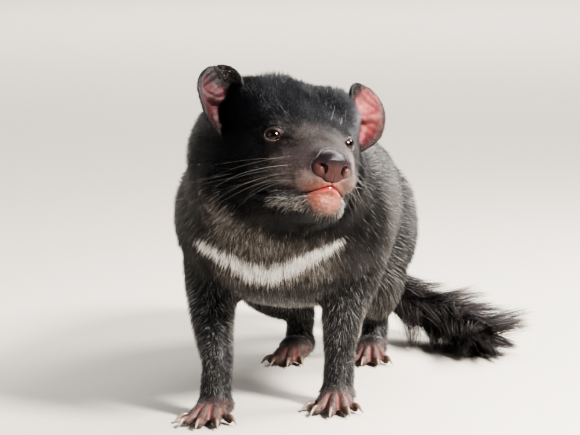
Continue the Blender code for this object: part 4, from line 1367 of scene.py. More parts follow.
    def grown(self, piece: CoatPiece, roots: Array, normals: Array, colours: Array,
              draw: np.random.Generator) -> Array:
        """The vertices of each tuft.

        A tuft leaves the skin at the angle whose sine is depth / length, so that its tip reaches the solids'
        outline, and bends down towards the lie.

        Args:
            piece: the piece of the coat.
            roots: where the tufts grow on the skin.
            normals: the skin's normals there.
            colours: the tufts' colours; the pale grey hairs are thinner.
            draw: the source of the small differences.

        Returns:
            Tufts by four vertices by 3: a ring of three at the root, and the tip.
        """
        count = len(roots)
        length, depth, lift = self.lie.sizes_at(roots).T
        length = length * draw.uniform(0.72, 1.18, count)
        way = self.lie.ways_at(roots, normals)
        side = np.cross(way, normals)
        way = unit(way + side * (draw.normal(0, 0.16, count) + 0.22 * waves(roots, 0.03, 12))[:, None])
        rise = np.clip((depth + 0.0007) * lift / length * draw.uniform(0.65, 1.60, count), 0.05, 0.85)
        flat = np.sqrt(1 - rise**2)
        single = ease(colours[:, 0], 0.10, 0.16) * ease(colours[:, 0], 0.55, 0.45)
        width = piece.width * draw.uniform(0.75, 1.3, count) * np.sqrt(length / 0.012) * (1 - 0.15 * single)
        start = way * flat[:, None] * 0.86 + normals * (rise * 1.25)[:, None]
        bend = way * (flat * 1.08)[:, None] + normals * (rise * 0.62)[:, None]
        middle = roots + unit(start) * (length * 0.5)[:, None]
        tips = middle + unit(bend) * (length * 0.5)[:, None]
        pull = draw.uniform(0.0, 0.45, count) * ease(length, 0.005, 0.010)
        tips = self.clumped(roots, tips, self.clump_size, pull)
        across = unit(np.cross(tips - roots, normals))
        upward = unit(np.cross(across, tips - roots))
        low = (roots - normals * self.sink)[:, None] + root_ring(across, upward, width)
        shape = np.concatenate([low, tips[:, None]], 1)
        shape[..., 2] = np.maximum(shape[..., 2], self.floor_clear)
        return shape

    def build_piece(self, number: int, piece: CoatPiece, region: Array, weight: Array) -> None:
        """Makes one piece of the coat."""
        draw = np.random.default_rng(piece.seed)
        chosen = np.flatnonzero((region == number) & (weight > 0))
        roots, normals, places = self.rooted(piece, chosen, weight, draw)
        colours = self.markings.coat_colours(roots, draw)
        shape = self.grown(piece, roots, normals, colours, draw)
        mesh = tuft_mesh(piece.name, shape, colours, places, draw)
        dressed(piece.name, mesh, piece.finish, "coat")

    def build(self) -> None:
        """Makes every piece of the coat."""
        corners = self.points[self.faces]
        across = np.cross(corners[:, 1] - corners[:, 0], corners[:, 2] - corners[:, 0])
        areas = np.linalg.norm(across, axis=1) / 2
        middles = corners.mean(1)
        blur = np.random.default_rng(100).normal(0, 1, middles.shape)
        loose = np.where(self.anatomy.drawing(middles)[:, 2:] < 0.05, 0.002, 0.006)
        region = self.region(middles + blur * loose)
        weight = areas * self.density(middles, unit(across)) / self.lie.sizes_at(middles)[:, 0]
        for number, piece in enumerate(COAT_PIECES):
            self.build_piece(number, piece, region, weight)


SPIKE_FACES = np.array(((0, 2, 1), (0, 1, 3), (1, 2, 3), (2, 0, 3)))
BLADE_FACES = np.array((
    (0, 2, 1), (0, 1, 4), (0, 4, 3), (1, 2, 5), (1, 5, 4),
    (2, 0, 3), (2, 3, 5), (3, 4, 6), (4, 5, 6), (5, 3, 6),
))


def tuft_mesh(name: str, shape: Array, colours: Array, places: Array,
              draw: np.random.Generator, tips: Array | None = None) -> Mesh:
    """One mesh of many tufts, coloured, with each tuft a small patch of the map for baking.

    Args:
        name: the mesh's name.
        shape: tufts by vertices by 3: four for a straight spike and seven for a bent blade.
        colours: one for each tuft.
        places: each tuft's place in the unwrap of the skin.
        draw: the source of the small differences.
        tips: the colours of the tips; lighter than the tuft's own if left out.

    Returns:
        The mesh.
    """
    count, corners = shape.shape[:2]
    pattern, rows = (SPIKE_FACES, 2) if corners == 4 else (BLADE_FACES, 3)
    a, b, c = (shape[:, pattern[:, k]] - shape[:, :1] for k in range(3))
    if np.einsum("nij,nij->", a, np.cross(b, c)) < 0:
        pattern = pattern[:, ::-1]
    faces = (pattern[None] + corners * np.arange(count)[:, None, None]).reshape(-1, 3)
    mesh = made_mesh(name, shape.reshape(-1, 3), faces)
    up = np.concatenate([np.repeat(np.arange(rows - 1) / (rows - 1), 3), [1.0]])
    # Dark tufts fall to half their colour at the root and rise to 1.6 times it at the tip: partly the hair's
    # own tone, partly painted shade among the roots and painted sheen on the tips.
    tips = 1.6 * colours if tips is None else tips
    low = colours * (0.5 + 0.4 * ease(colours[:, :1], 0.50, 0.60))
    full = low[:, None] + (tips - low)[:, None] * (up**1.4)[None, :, None]
    full = full * draw.uniform(0.9, 1.1, (count, 1, 1))
    set_colours(mesh, full.reshape(-1, 3).clip(0, 1))
    spot = np.stack([np.append(np.tile((-1, 1, 0), rows - 1), 0), up * 2 - 1], 1)
    patch = np.clip(places, 0.002, 0.998)[:, None] + 0.0015 * spot[None]
    layer = mesh.uv_layers.new(name=BAKE_MAP)
    layer.data.foreach_set("uv", patch.reshape(-1, 2)[faces.ravel()].astype(np.float32).ravel())
    return mesh


@dataclass
class Brush:
    """The long hair of the tail: locks in two bundles that part towards its end, with gaps between them."""

    anatomy: Anatomy
    hairs: int = 16_000
    locks: int = 120
    start: float = 0.03
    lengths: tuple[float, float] = (0.018, 0.062)
    width: float = 0.00036
    spread: float = math.radians(20)
    leans: tuple[Point, Point] = ((0.50, 0.10, 0.14), (-0.18, -0.95, -0.06))
    floor_clear: float = 0.0020
    root_colour: Colour = (0.0082, 0.0076, 0.0084)
    tip_colour: Colour = (0.058, 0.033, 0.027)
    sheen_colour: Colour = (0.125, 0.125, 0.130)

    def line_at(self, share: Array, fine: int = 400) -> tuple[Array, ...]:
        """Points, directions and radii of the tail at shares of its length, read from fine steps."""
        line, radii = Tail().curve(self.anatomy, fine)
        at = np.minimum((share * (fine - 1)).astype(int), fine - 2)
        return line[at], unit(line[at + 1] - line[at]), radii[at]

    def build(self) -> Object:
        """Makes the tail's hair.

        Each lock has a place along the tail and round it, and a length and a lean that grow towards its tip.
        Each hair starts near its lock's place and ends near the lock's tip, more loosely the nearer the root.
        """
        draw = np.random.default_rng(201)
        share = np.arange(self.locks) + draw.uniform(size=self.locks)
        share = (self.start + (1 - self.start) * share / self.locks) ** 0.85
        turn = draw.uniform(0, 2 * math.pi, self.locks)
        bundle = draw.uniform(size=self.locks) < 0.46
        size, tilt = draw.uniform(0.62, 1.12, self.locks), self.spread * draw.uniform(0.4, 1.6, self.locks)
        sway, amount = draw.normal(0, 0.10, (self.locks, 3)), draw.uniform(0.6, 1.2, self.locks)
        lock = draw.integers(0, self.locks, self.hairs)
        spot = np.clip(share[lock] + draw.normal(0, 0.022, self.hairs), self.start, 1.0)
        angle = turn[lock] + draw.normal(0, 0.55, self.hairs)
        at, along, radius = self.line_at(spot)
        side = unit(np.cross(along, (0.0, 0.0, 1.0)))
        out = np.cos(angle)[:, None] * side + np.sin(angle)[:, None] * np.cross(side, along)
        roots = at + out * (radius * 0.9)[:, None]
        grow = ease(share, 0.12, 0.70)[lock]
        length = (self.lengths[0] + (self.lengths[1] - self.lengths[0]) * grow) * size[lock]
        length = length * draw.uniform(0.75, 1.1, self.hairs)
        own = tilt[lock] + draw.normal(0, 0.05, self.hairs)
        way = along * np.cos(own)[:, None] + out * np.sin(own)[:, None]
        lean = np.array(self.leans)[bundle.astype(int)][lock] * (grow * amount[lock])[:, None] + sway[lock]
        middle = roots + way * (length * 0.5)[:, None] + lean * (length * 0.20)[:, None]
        tips = roots + way * length[:, None] + lean * length[:, None]
        heart = np.stack([np.bincount(lock, tips[:, k], self.locks) for k in range(3)], 1)
        heart = heart / np.maximum(np.bincount(lock, minlength=self.locks), 1)[:, None]
        pull = draw.uniform(0.25, 0.92, self.hairs) * (0.35 + 0.65 * grow)
        tips = tips + pull[:, None] * (heart[lock] - tips)
        for points in (middle, tips):
            points[:, 2] = np.maximum(points[:, 2], self.floor_clear + 0.002 * draw.uniform(size=self.hairs))
        across = unit(np.cross(way, out))
        ring = root_ring(across, out, self.width * draw.uniform(0.6, 1.4, self.hairs))
        low = (roots - out * 0.001)[:, None] + ring
        shape = np.concatenate([low, middle[:, None] + 0.85 * ring, tips[:, None]], 1)
        colours = np.tile(self.root_colour, (self.hairs, 1)) * np.exp(draw.normal(0, 0.45, (self.hairs, 1)))
        # About one hair in six takes the grey sheen_colour: painted sheen on the tail's black hair. The tips
        # are also lightened 1.6 times, in part painted sheen.
        pale = draw.uniform(size=self.hairs) < 0.16
        colours[pale] = np.array(self.sheen_colour) * draw.uniform(0.4, 1.3, (pale.sum(), 1))
        warm = ease(grow, 0.2, 1.0) * draw.uniform(0.0, 1.0, self.hairs) ** 1.8
        ends = layered(1.6 * colours, (self.tip_colour, warm))
        places = np.stack([(angle / (2 * math.pi)) % 1, spot], 1)
        mesh = tuft_mesh("tail_hair", shape, colours, places, draw, ends)
        return dressed("tail_hair", mesh, TAIL_FINISH, "tail_hair", "tail_brush")


@dataclass
class Nose:
    """The leather of the nose: a dome with a flatter front, curled nostrils, rounded wings and a groove."""

    anatomy: Anatomy
    rows: int = 120
    columns: int = 160
    brown: Colour = (0.052, 0.022, 0.021)
    top: Colour = (0.020, 0.013, 0.016)
    wings: Colour = (0.130, 0.054, 0.050)
    nostrils: Colour = (0.006, 0.003, 0.003)

    def build(self) -> Object:
        """Makes the nose: its plain form, with a flat front, curled nostrils, their wings and the groove.

        Returns:
            The finished piece.
        """
        form = NoseForm()
        way = ball_ways(self.rows, self.columns)[0]
        points = way * form.reach(way)[..., None]
        x, z = points[..., 0], points[..., 2]
        front = ease(way[..., 1], 0.15, -0.30)
        plane = -0.0126 + 0.20 * (0.0030 - z) + 0.10 * np.abs(x)
        over = np.clip(plane - points[..., 1], 0, None)
        points[..., 1] += 0.84 * over
        wing_x, wing_z = np.abs(x) - 0.0120, z + 0.0034
        angle = np.arctan2(wing_z, -wing_x)
        ring = np.hypot(wing_x, wing_z * 0.9) - 0.0042
        curl = ease(angle, -1.0, -0.2) * ease(angle, 2.5, 1.5)
        pit = hill(ring, 0.00055 + 0.00085 * hill(angle - 0.7, 0.9)) * curl * front
        wing = hill(np.hypot(wing_x, wing_z), 0.0040) * front
        groove = hill(x, 0.0007) * ease(z, -0.003, -0.008) * front
        lift = 0.0008 * wing - 0.0036 * pit - 0.0006 * groove
        points = points + unit(points) * lift[..., None]
        world = self.anatomy.from_head((points + form.middle).reshape(-1, 3))
        shape = closed_tube(world.reshape(self.rows, self.columns, 3))
        tint = self.colours(points[..., 2], pit, wing)
        tint = np.vstack([tint.reshape(-1, 3), tint[0].mean(0), tint[-1].mean(0)])
        return finished("nose_leather", shape, tint, NOSE_FINISH, "nose_leather", "nose")

    def colours(self, z: Array, pit: Array, wing: Array) -> Array:
        """Purple-brown on top, red-brown in front, pinker on the wings and near black in the nostrils."""
        top = ease(z, 0.000, 0.0055).ravel()
        colour = layered(
            self.brown,
            (self.top, top),
            (self.wings, (0.6 * wing.ravel() * (1 - top)).clip(0, 1)),
            (self.nostrils, np.clip(pit * 1.5, 0, 1).ravel()),
        )
        return colour.reshape(*z.shape, 3)


@dataclass
class Eye:
    """An eyeball with a low cornea, and the moist rim of the lids round it."""

    anatomy: Anatomy
    side: Side
    rows: int = 60
    columns: int = 72
    rim_rows: int = 96
    rim_columns: int = 14
    iris: float = math.radians(44)
    pupil: float = math.radians(25)
    edge: float = 0.03
    bulge: float = 0.00045

    def build(self) -> None:
        """Makes the ball: r(t) = R + bulge exp(-(t / 0.55)^2), with t the angle from the line of sight."""
        way, polar, turn = ball_ways(self.rows, self.columns)
        reach = self.anatomy.eye_radius + self.bulge * hill(polar, 0.55)
        shape = closed_tube(self.in_place(way * reach[..., None]))
        angle = np.concatenate([np.repeat(polar[:, 0], self.columns), (0.0, math.pi)])
        streak = np.append(np.tile(np.sin(turn[0] * 23) + np.sin(turn[0] * 41 + 1), self.rows), (0.0, 0.0))
        iris = ease(angle, self.iris + self.edge, self.iris - self.edge)
        colour = layered((0.040, 0.026, 0.023), ((0.018, 0.0080, 0.0050), iris))
        colour *= (1 + 0.12 * streak * (angle < self.iris))[:, None]
        colour = layered(
            colour,
            ((0.006, 0.003, 0.003), hill(angle - self.iris, 0.05)),
            ((0.0015, 0.001, 0.001), ease(angle, self.pupil + self.edge, self.pupil - self.edge)),
        )
        name = self.side.name.lower()
        finished("eyeball_" + name, shape, colour, EYE_FINISH, "eye", "eye_" + name)
        self.build_rim()

    def in_place(self, grid: Array) -> Array:
        """Points of the eye's frame in the row frame."""
        matrix = np.array(self.anatomy.eye_matrix(self.side))
        return moved(grid.reshape(-1, 3), matrix).reshape(grid.shape)

    def opening(self, turn: Array) -> tuple[Array, Array]:
        """x and z of the lids' edge: an ellipse drawn out to a point at the inner corner, a little low."""
        wide, high = self.anatomy.lid_opening
        inner = -self.side.value
        x, z = wide * np.cos(turn), high * np.sin(turn)
        corner = hill(np.arctan2(np.sin(turn + 0.30), inner * np.cos(turn)), 0.38)
        return x + inner * 0.0022 * corner, z * (1 - 0.35 * corner) - 0.0010 * corner

    def build_rim(self) -> None:
        """Makes the rim: a tube whose section is wider along the ball than it is thick."""
        turn, bend = around(self.rim_rows), around(self.rim_columns)
        x, z = self.opening(turn)
        reach = self.anatomy.eye_radius + 0.0004
        y = -np.sqrt(np.maximum(reach**2 - x**2 - z**2, 1e-8))
        line = np.stack([x, y, z], 1)
        out = unit(line)
        along = unit(np.roll(line, -1, 0) - np.roll(line, 1, 0))
        across = unit(np.cross(along, out))
        across *= np.sign((across * (line * (1, 0, 1))).sum(1, keepdims=True))
        upper = np.clip(np.sin(turn), 0, 1)[:, None, None]
        wide = 0.00056 * (1 - 0.35 * upper)
        section = wide * (1 + np.cos(bend)[None, :, None]) * across[:, None]
        section = section + 0.00055 * np.sin(bend)[None, :, None] * out[:, None]
        points = self.in_place(line[:, None] + section + out[:, None] * 0.0002).reshape(-1, 3)
        faces = outward(points, ring_faces(self.rim_rows + 1, self.rim_columns) % len(points))
        corner = np.arctan2(np.sin(turn), -self.side.value * np.cos(turn))
        inner = np.repeat(hill(corner, 0.6), self.rim_columns)
        below = np.repeat(ease(np.sin(turn), 0.35, -0.35), self.rim_columns)
        colour = layered(
            (0.020, 0.015, 0.015),
            ((0.150, 0.088, 0.078), below),
            ((0.060, 0.026, 0.024), 0.7 * np.tile(ease(-np.cos(bend), 0.0, 0.9), self.rim_rows)),
            ((0.300, 0.115, 0.105), 0.85 * inner * (0.4 + 0.6 * below)),
        )
        finished("lid_rim_" + self.side.name.lower(), (points, faces), colour, LID_FINISH, "nose_leather")


@dataclass(frozen=True)
class EarTones:
    """How one ear differs: where its dark rim starts, how its flush is dimmed, and colours of its hairs. The
    left ear is painted as lit and the right as in shade: painted shade dims and cools the right ear's flush,
    brings its dusky top lower and darkens its rim hairs, and its lining hairs are lighter as painted sky light.
    """

    dusk: float
    shade: Colour
    lining: Colour
    rim: Colour


# Left ear painted as lit, right ear as in shade: painted light and shade, not a difference in the ears
# themselves.
EAR_LIT_AND_SHADED = {
    Side.LEFT: EarTones(0.80, (0.85, 0.85, 0.85), (0.024, 0.020, 0.020), (0.070, 0.052, 0.048)),
    Side.RIGHT: EarTones(0.66, (0.18, 0.185, 0.22), (0.080, 0.067, 0.063), (0.040, 0.030, 0.029)),
}


@dataclass
class Ear:
    """A thin round cup with folds inside, bare and flushed in front and furred behind."""

    anatomy: Anatomy
    side: Side
    half_width: float = 0.0225
    swell: float = 1.22
    cup: float = 0.0215
    wall: float = 0.0012
    rows: int = 72
    columns: int = 120
    tufts: int = 7_600
    tuft_width: float = 0.00034
    black: Colour = (0.014, 0.010, 0.011)
    back: Colour = (0.012, 0.010, 0.011)

    def outline(self, v: Array) -> Array:
        """Half the girth at a share v of the height: narrow at the root, round at the top."""
        root = 0.36 + 0.64 * np.sin(np.clip((v + 0.02) / 0.42, 0, 1) * math.pi / 2)
        top = np.sqrt(np.clip(1 - (np.clip(v - 0.45, 0, None) / 0.56) ** 2, 0, 1))
        return self.half_width * root * top * self.swell

    def sheet(self, u: Array, v: Array) -> Array:
        """The middle of the wall at u across and v up: a sheet bent round the ear's axis, with its folds.

        x = r sin a and y = r cos a, with a = girth u / r. Folds are bells across the sheet: one crosses it on
        a bent line at mid height, two steep ones lie beside the root, with a hollow above and one below, and
        the edge rolls back on the outside and curls forwards towards the crown.

        Args:
            u: the place across, from -1 by the crown to 1 on the outside.
            v: the place up, from 0 at the root to 1 at the top.

        Returns:
            Points of the ear's frame.
        """
        up = np.clip(v, 0, 1)
        radius = self.cup * (0.80 + 0.55 * up)
        angle = self.outline(up) * u / radius
        crease, side = self.crease(u, v), np.abs(u)
        level = (0.0042 * hill(crease, 0.055) - 0.0014 * hill(crease + 0.10, 0.045)) * ease(side, 0.92, 0.35)
        steep = 0.0026 * (hill(u - 0.42 + 0.3 * v, 0.11) + 0.8 * hill(u + 0.20, 0.09)) * ease(v, 0.50, 0.34)
        deep = 0.0044 * hill(u - 0.1, 0.50) * (hill(v - 0.24, 0.20) + 0.5 * hill(v - 0.76, 0.13))
        rim = 0.0018 * ease(u, 0.76, 1.0) * ease(v, 0.05, 0.4)
        rim = rim - 0.0058 * ease(u, -0.45, -1.0) * ease(v, 1.1, 0.6)
        ripple = 0.00018 * (np.sin(v * 55 + u * 9) + np.sin(v * 31 - u * 13)) * ease(side, 1.0, 0.6)
        reach = radius - level - steep + deep + rim + ripple
        x = reach * np.sin(angle)
        y = reach * np.cos(angle) - self.cup * 0.62 - 0.006 * up**2 + 0.0006
        return np.stack([x, y, self.anatomy.ear_height * v], -1)

    @staticmethod
    def crease(u: Array, v: Array) -> Array:
        """How far a place lies above the bent line of the fold at mid height, in shares of the height."""
        return v - 0.53 - 0.10 * u + 0.035 * np.sin(4.2 * u + 0.6)

    def frame_at(self, u: Array, v: Array, step: float = 1e-3) -> tuple[Array, ...]:
        """Points of the sheet and unit directions across it, up it and out of it.

        Args:
            u: places across the sheet.
            v: places up it.
            step: how far the sheet is read to each side of a place.

        Returns:
            Points, across, up and out.
        """
        across = unit(self.sheet(u + step, v) - self.sheet(u - step, v))
        upward = unit(self.sheet(u, v + step) - self.sheet(u, v - step))
        return self.sheet(u, v), across, upward, unit(np.cross(across, upward))

    def in_place(self, grid: Array) -> Array:
        """Points of an ear's frame, mirrored for the right ear, in the row frame."""
        mirrored = grid.reshape(-1, 3) * (self.side.value, 1, 1)
        return moved(mirrored, np.array(self.anatomy.ear_matrix(self.side))).reshape(grid.shape)

    def build(self) -> None:
        """Makes the ear: the sheet with a wall that closes in round edges.

        p = sheet(u, v) + wall |sin a|^0.4 normal, to the sign of sin a, with u = cos a.
        """
        angle = around(self.columns)[None, :]
        v = np.linspace(-0.06, 0.995, self.rows)[:, None] + 0 * angle
        u = np.cos(angle) * np.ones_like(v)
        middle, _, _, normal = self.frame_at(u, v)
        round_edge = np.abs(np.sin(angle)) ** 0.4 * np.sign(np.sin(angle))
        thick = self.wall * round_edge * (1.4 - 0.7 * np.clip(v, 0, 1))
        shape = closed_tube(self.in_place(middle + normal * thick[..., None]))
        inner = (np.sin(angle) * np.sign(normal[..., 1].mean()) < 0) & np.ones_like(v, bool)
        tint = self.colours(u.ravel(), v.ravel(), inner.ravel())
        tint = np.vstack([tint, tint[:1], tint[-1:]])
        name = self.side.name.lower()
        finished("ear_cup_" + name, shape, tint, EAR_FINISH, "ear_skin", "ear_" + name)
        self.build_fur("ear_fur_" + name)

    def colours(self, u: Array, v: Array, inner: Array) -> Array:
        """The ear's colours: flushed inside, with a fold darkened along its crease by painted shade, a dusky
        rim and a black side by the crown.

        Args:
            u: places across the sheet.
            v: places up it.
            inner: true on the inside of the cup.

        Returns:
            Rows of linear colours, black on the back.
        """
        tones = EAR_LIT_AND_SHADED[self.side]
        spots = np.stack([u * 0.022, v * 0.060, 0 * u], 1)
        ragged = 0.05 * waves(spots, 0.006, 68)
        flush = layered((0.290, 0.082, 0.080), ((0.200, 0.050, 0.056), ease(v, 0.55, 0.20)))
        flush *= (1 + 0.22 * waves(spots, 0.009, 66) + 0.14 * waves(spots, 0.003, 67))[:, None]
        # Darker along the fold: painted shade in its crease. The dusky top is partly the ear's own dark rim; on
        # the right ear it reaches lower as painted shade.
        fold = hill(self.crease(u, v) + 0.045, 0.040) * ease(np.abs(u), 1.0, 0.5)
        colour = layered(
            flush,
            ((0.110, 0.034, 0.036), 0.80 * fold),
            ((0.085, 0.050, 0.048), 0.92 * ease(u + ragged, 0.66, 0.90)),
            ((0.046, 0.026, 0.028), 0.95 * ease(v + ragged - 0.12 * u, tones.dusk, tones.dusk + 0.17)),
            (self.black, ease(u + 1.5 * ragged, -0.05, -0.36)),
            ((0.030, 0.018, 0.018), ease(v + ragged, 0.16, 0.04)),
        )
        # The inside is multiplied by the side's shade: painted shade, strongest on the right ear.
        return np.where(inner[:, None], np.maximum(colour * tones.shade, self.black), self.back)

    def build_fur(self, name: str) -> None:
        """Makes the ear's fur, a tuft of four triangles at each root.

        Over half of it lies on the back. The rest lines the side towards the crown, the root of the cup and,
        shorter and greyer, the rim.
        """
        draw = np.random.default_rng(300 + self.side.value)
        count = self.tufts
        zone = draw.choice(4, count, p=(0.52, 0.24, 0.10, 0.14))
        along = draw.uniform(size=count)
        edge = np.where(along < 0.55, 0.80 + 0.20 * draw.uniform(size=count), draw.uniform(-0.9, 0.9, count))
        back, root = draw.uniform(-1, 1, count), draw.uniform(-0.9, 1.0, count)
        u = np.choose(zone, (back, -1 + 0.84 * along**1.3, root, edge))
        top = np.where(along < 0.55, draw.uniform(0.15, 0.97, count), 0.99 - 0.10 * draw.uniform(size=count))
        high, low = draw.uniform(-0.08, 0.985, count), draw.uniform(-0.05, 0.20, count)
        v = np.choose(zone, (high, high, low, top))
        girth = self.outline(np.clip(v, 0, 1)) / self.half_width / self.swell
        keep = draw.uniform(size=count) < girth + 0.10
        u, v, zone = u[keep], v[keep], zone[keep]
        root, across, upward, normal = self.frame_at(u, v)
        normal *= np.sign(normal[:, 1:2]) * np.where(zone == 0, 1, -1)[:, None]
        root = root + normal * (0.5 * self.wall)
        aside = 0.9 * np.sign(u) * ease(np.abs(u), 0.75, 1.0)
        swing = np.choose(zone, (aside, 0.55, 0.2 * u, 0.7 * (u > 0.75)))
        way = unit(upward + swing[:, None] * across + draw.normal(0, 0.17, (len(u), 3)))
        length = np.choose(zone, (0.0044, 0.0056, 0.0075, 0.0019)) * draw.uniform(0.6, 1.25, len(u))
        length *= (1 - 0.35 * ease(v, 0.6, 0.95)) * (1 - 0.55 * ease(np.abs(u), 0.65, 1.0))
        tips = root + way * length[:, None] + normal * (0.0007 + 0.08 * length)[:, None]
        width = np.where(zone < 3, self.tuft_width, 0.00020) * draw.uniform(0.7, 1.3, len(u))
        ring = root_ring(unit(np.cross(way, normal)), normal, width)
        shape = self.in_place(np.concatenate([root[:, None] + ring, tips[:, None]], 1))
        # Lining and rim hairs take the side's colours: painted sky light on the right ear's lining, painted
        # shade on its rim hairs.
        tones = EAR_LIT_AND_SHADED[self.side]
        tones = np.array(((0.014, 0.012, 0.013), tones.lining, (0.026, 0.021, 0.021), tones.rim))
        colours = tones[zone] * np.exp(draw.normal(0, 0.45, (len(u), 1)))
        places = np.stack([(u + 1) / 2, np.clip(v, 0, 1)], 1)
        mesh = tuft_mesh(name, shape, colours, places, draw)
        dressed(name, mesh, COAT_FINISH, "coat")


@dataclass
class Lips:
    """The moist edge of the lower lip, along the front of the mouth."""

    anatomy: Anatomy
    tree: BVHTree
    reach: float = 0.34
    radius: float = 0.0024
    rows: int = 61
    colour: Colour = (0.310, 0.038, 0.032)

    def on_skin(self, h: Array) -> Array:
        """The skin's surface under points outside it, looked for along lines to the head's long axis."""
        found = []
        matrix, back = self.anatomy.head_matrix(), self.anatomy.head_matrix().inverted()
        for point in h:
            start = Vector((point[0] * 1.8, -0.045 + (point[1] + 0.045) * 1.8, point[2]))
            way = Vector((0, -0.045, point[2])) - start
            hit = self.tree.ray_cast(matrix @ start, (matrix.to_3x3() @ way).normalized())[0]
            found.append(back @ hit if hit else Vector(point))
        return np.array(found)

    def build(self) -> Object:
        """Makes the lip: a tube laid on the skin just under the line of the mouth, thin at both ends."""
        share = np.linspace(-self.reach, self.reach, self.rows)
        line = self.anatomy.mouth_line(share)
        line[:, 2] -= 0.0015
        surface = self.on_skin(line)
        surface[:, 2] = line[:, 2]
        smooth = np.convolve(np.pad(surface[:, 1], 4, "edge"), np.ones(9) / 9, "valid")
        ends = np.abs(share / self.reach)
        surface[:, 1] = smooth + 0.0004 + 0.0016 * ends**3
        radii = self.radius * np.clip(1 - ends**2, 0.03, 1) ** 0.7
        points, faces = hose(surface, radii, 16, across=np.array((0.0, 0.0, 1.0)), flat=0.8)
        shape = (self.anatomy.from_head(points), faces)
        tint = np.tile(self.colour, (len(points), 1))
        return finished("lower_lip", shape, tint, LIP_FINISH, "nose_leather")


@dataclass
class Claws:
    """The claws of one foot: tapered horn that curves forwards and down from the toe."""

    anatomy: Anatomy
    foot: Foot
    length: float = 0.0115
    radius: float = 0.0021
    rings: int = 16
    sides: int = 12

    def build(self) -> Object:
        """Makes the claws as one piece: tubes of oval rings, r(s) = R (1 - s)^0.65, on curved lines."""
        share = np.linspace(0, 1, self.rings)
        height = 0.0066 + 0.0022 * np.sin(share * math.pi) - 0.0048 * share**1.3
        radii = self.radius * (1 - share) ** 0.65 + 0.00022
        shapes = []
        for angle, length in self.foot.toes:
            turn = math.radians(angle)
            way = np.array((self.foot.side.value * math.sin(turn), -math.cos(turn)))
            reach = length - 0.0025 + (self.length + 0.0022) * share
            line = np.column_stack([way[0] * reach, way[1] * reach, height])
            shapes.append(hose(line, radii, self.sides, across=np.array((-way[1], way[0], 0.0)), flat=1.25))
        points, faces = joined(shapes)
        points = self.anatomy.placed(moved(points, self.foot.matrix()))
        along = np.tile(np.append(np.repeat(share, self.sides), (0.0, 1.0)), len(self.foot.toes))
        tint = layered((0.150, 0.088, 0.070), ((0.300, 0.235, 0.185), ease(along, 0.2, 0.9)))
        name = self.foot.name
        nodes = [f"{name}_claw_{number}" for number in range(1, len(self.foot.toes) + 1)]
        return finished("claws_" + name, (points, faces), tint, CLAW_FINISH, "claw", *nodes)


@dataclass(frozen=True)
class WhiskerPatch:
    """A patch of stiff hairs on the face, in the head's frame: where, how many, which way and how long."""

    at: Point
    spread: Point
    way: Point
    count: int
    length: tuple[float, float]
    droop: float


WHISKER_PATCHES = tuple(WhiskerPatch(*row) for row in (
    ((0.0255, -0.0520, -0.0040), (0.003, 0.018, 0.012), (0.70, 0.80, -0.12), 15, (0.040, 0.088), 0.17),
    ((0.0270, -0.0460, -0.0120), (0.003, 0.018, 0.008), (0.62, 0.85, -0.26), 14, (0.035, 0.078), 0.20),
    ((0.0270, -0.0200, 0.0345), (0.010, 0.010, 0.002), (0.40, 0.60, 0.90), 6, (0.016, 0.036), 0.25),
    ((0.0500, -0.0020, -0.0140), (0.003, 0.004, 0.004), (0.90, 0.60, -0.15), 4, (0.030, 0.050), 0.15),
    ((0.0100, -0.0700, -0.0385), (0.012, 0.006, 0.003), (0.15, 0.20, -1.00), 22, (0.004, 0.010), 0.10),
    ((0.0330, -0.0400, -0.0300), (0.004, 0.020, 0.005), (0.22, 0.70, -0.85), 110, (0.005, 0.012), 0.10),
    ((0.0230, -0.0600, -0.0290), (0.004, 0.016, 0.005), (0.20, 0.50, -0.95), 110, (0.004, 0.011), 0.10),
))


@dataclass
class Whiskers:
    """The long pale hairs of the muzzle, brows, cheeks and chin."""

    anatomy: Anatomy
    tree: BVHTree
    radius: float = 0.00015
    greys: tuple[float, ...] = (0.06, 0.14, 0.26, 0.45)
    warmth: Colour = (1.0, 0.95, 0.88)

    def build(self) -> Object:
        """Makes the whiskers as one piece."""
        draw = np.random.default_rng(401)
        each = [(patch, side) for patch in WHISKER_PATCHES for side in Side for _ in range(patch.count)]
        shapes = [self.hair(patch, side, draw) for patch, side in each]
        points, faces = joined(shapes)
        shade = np.concatenate([np.full(len(p), draw.choice(self.greys)) for p, _ in shapes])
        tint = shade[:, None] * np.array(self.warmth)
        return finished("whiskers", (self.anatomy.from_head(points), faces), tint, WHISKER_FINISH, "coat")

    def hair(self, patch: WhiskerPatch, side: Side, draw: np.random.Generator) -> Shape:
        """One thin tapered tube on a curve, p(s) = root + length (way s + droop s^2 down + sway s^3).

        Args:
            patch: the patch that it grows in.
            side: the animal's side.
            draw: the source of its place, way, length and sway.

        Returns:
            Points in the head's frame, and triangles.
        """
        matrix = self.anatomy.head_matrix()
        at = np.array(patch.at) + draw.normal(0, 0.5, 3) * patch.spread
        at[0] *= side.value
        way = unit(np.array(patch.way) + draw.normal(0, 0.11, 3))
        way[0] *= side.value
        root = np.array(matrix.inverted() @ self.tree.find_nearest(matrix @ Vector(at))[0])
        length = draw.uniform(*patch.length)
        s = np.linspace(0, 1, 12)[:, None]
        bent = np.array((0, 0.25, -1.0)) * patch.droop * s**2 + draw.normal(0, 0.10, 3) * s**3
        line = root + length * (way * s + bent)
        line = line - way * 0.001
        return hose(line, self.radius * draw.uniform(0.6, 1.1) * (1 - 0.9 * s[:, 0] ** 1.3), 4)


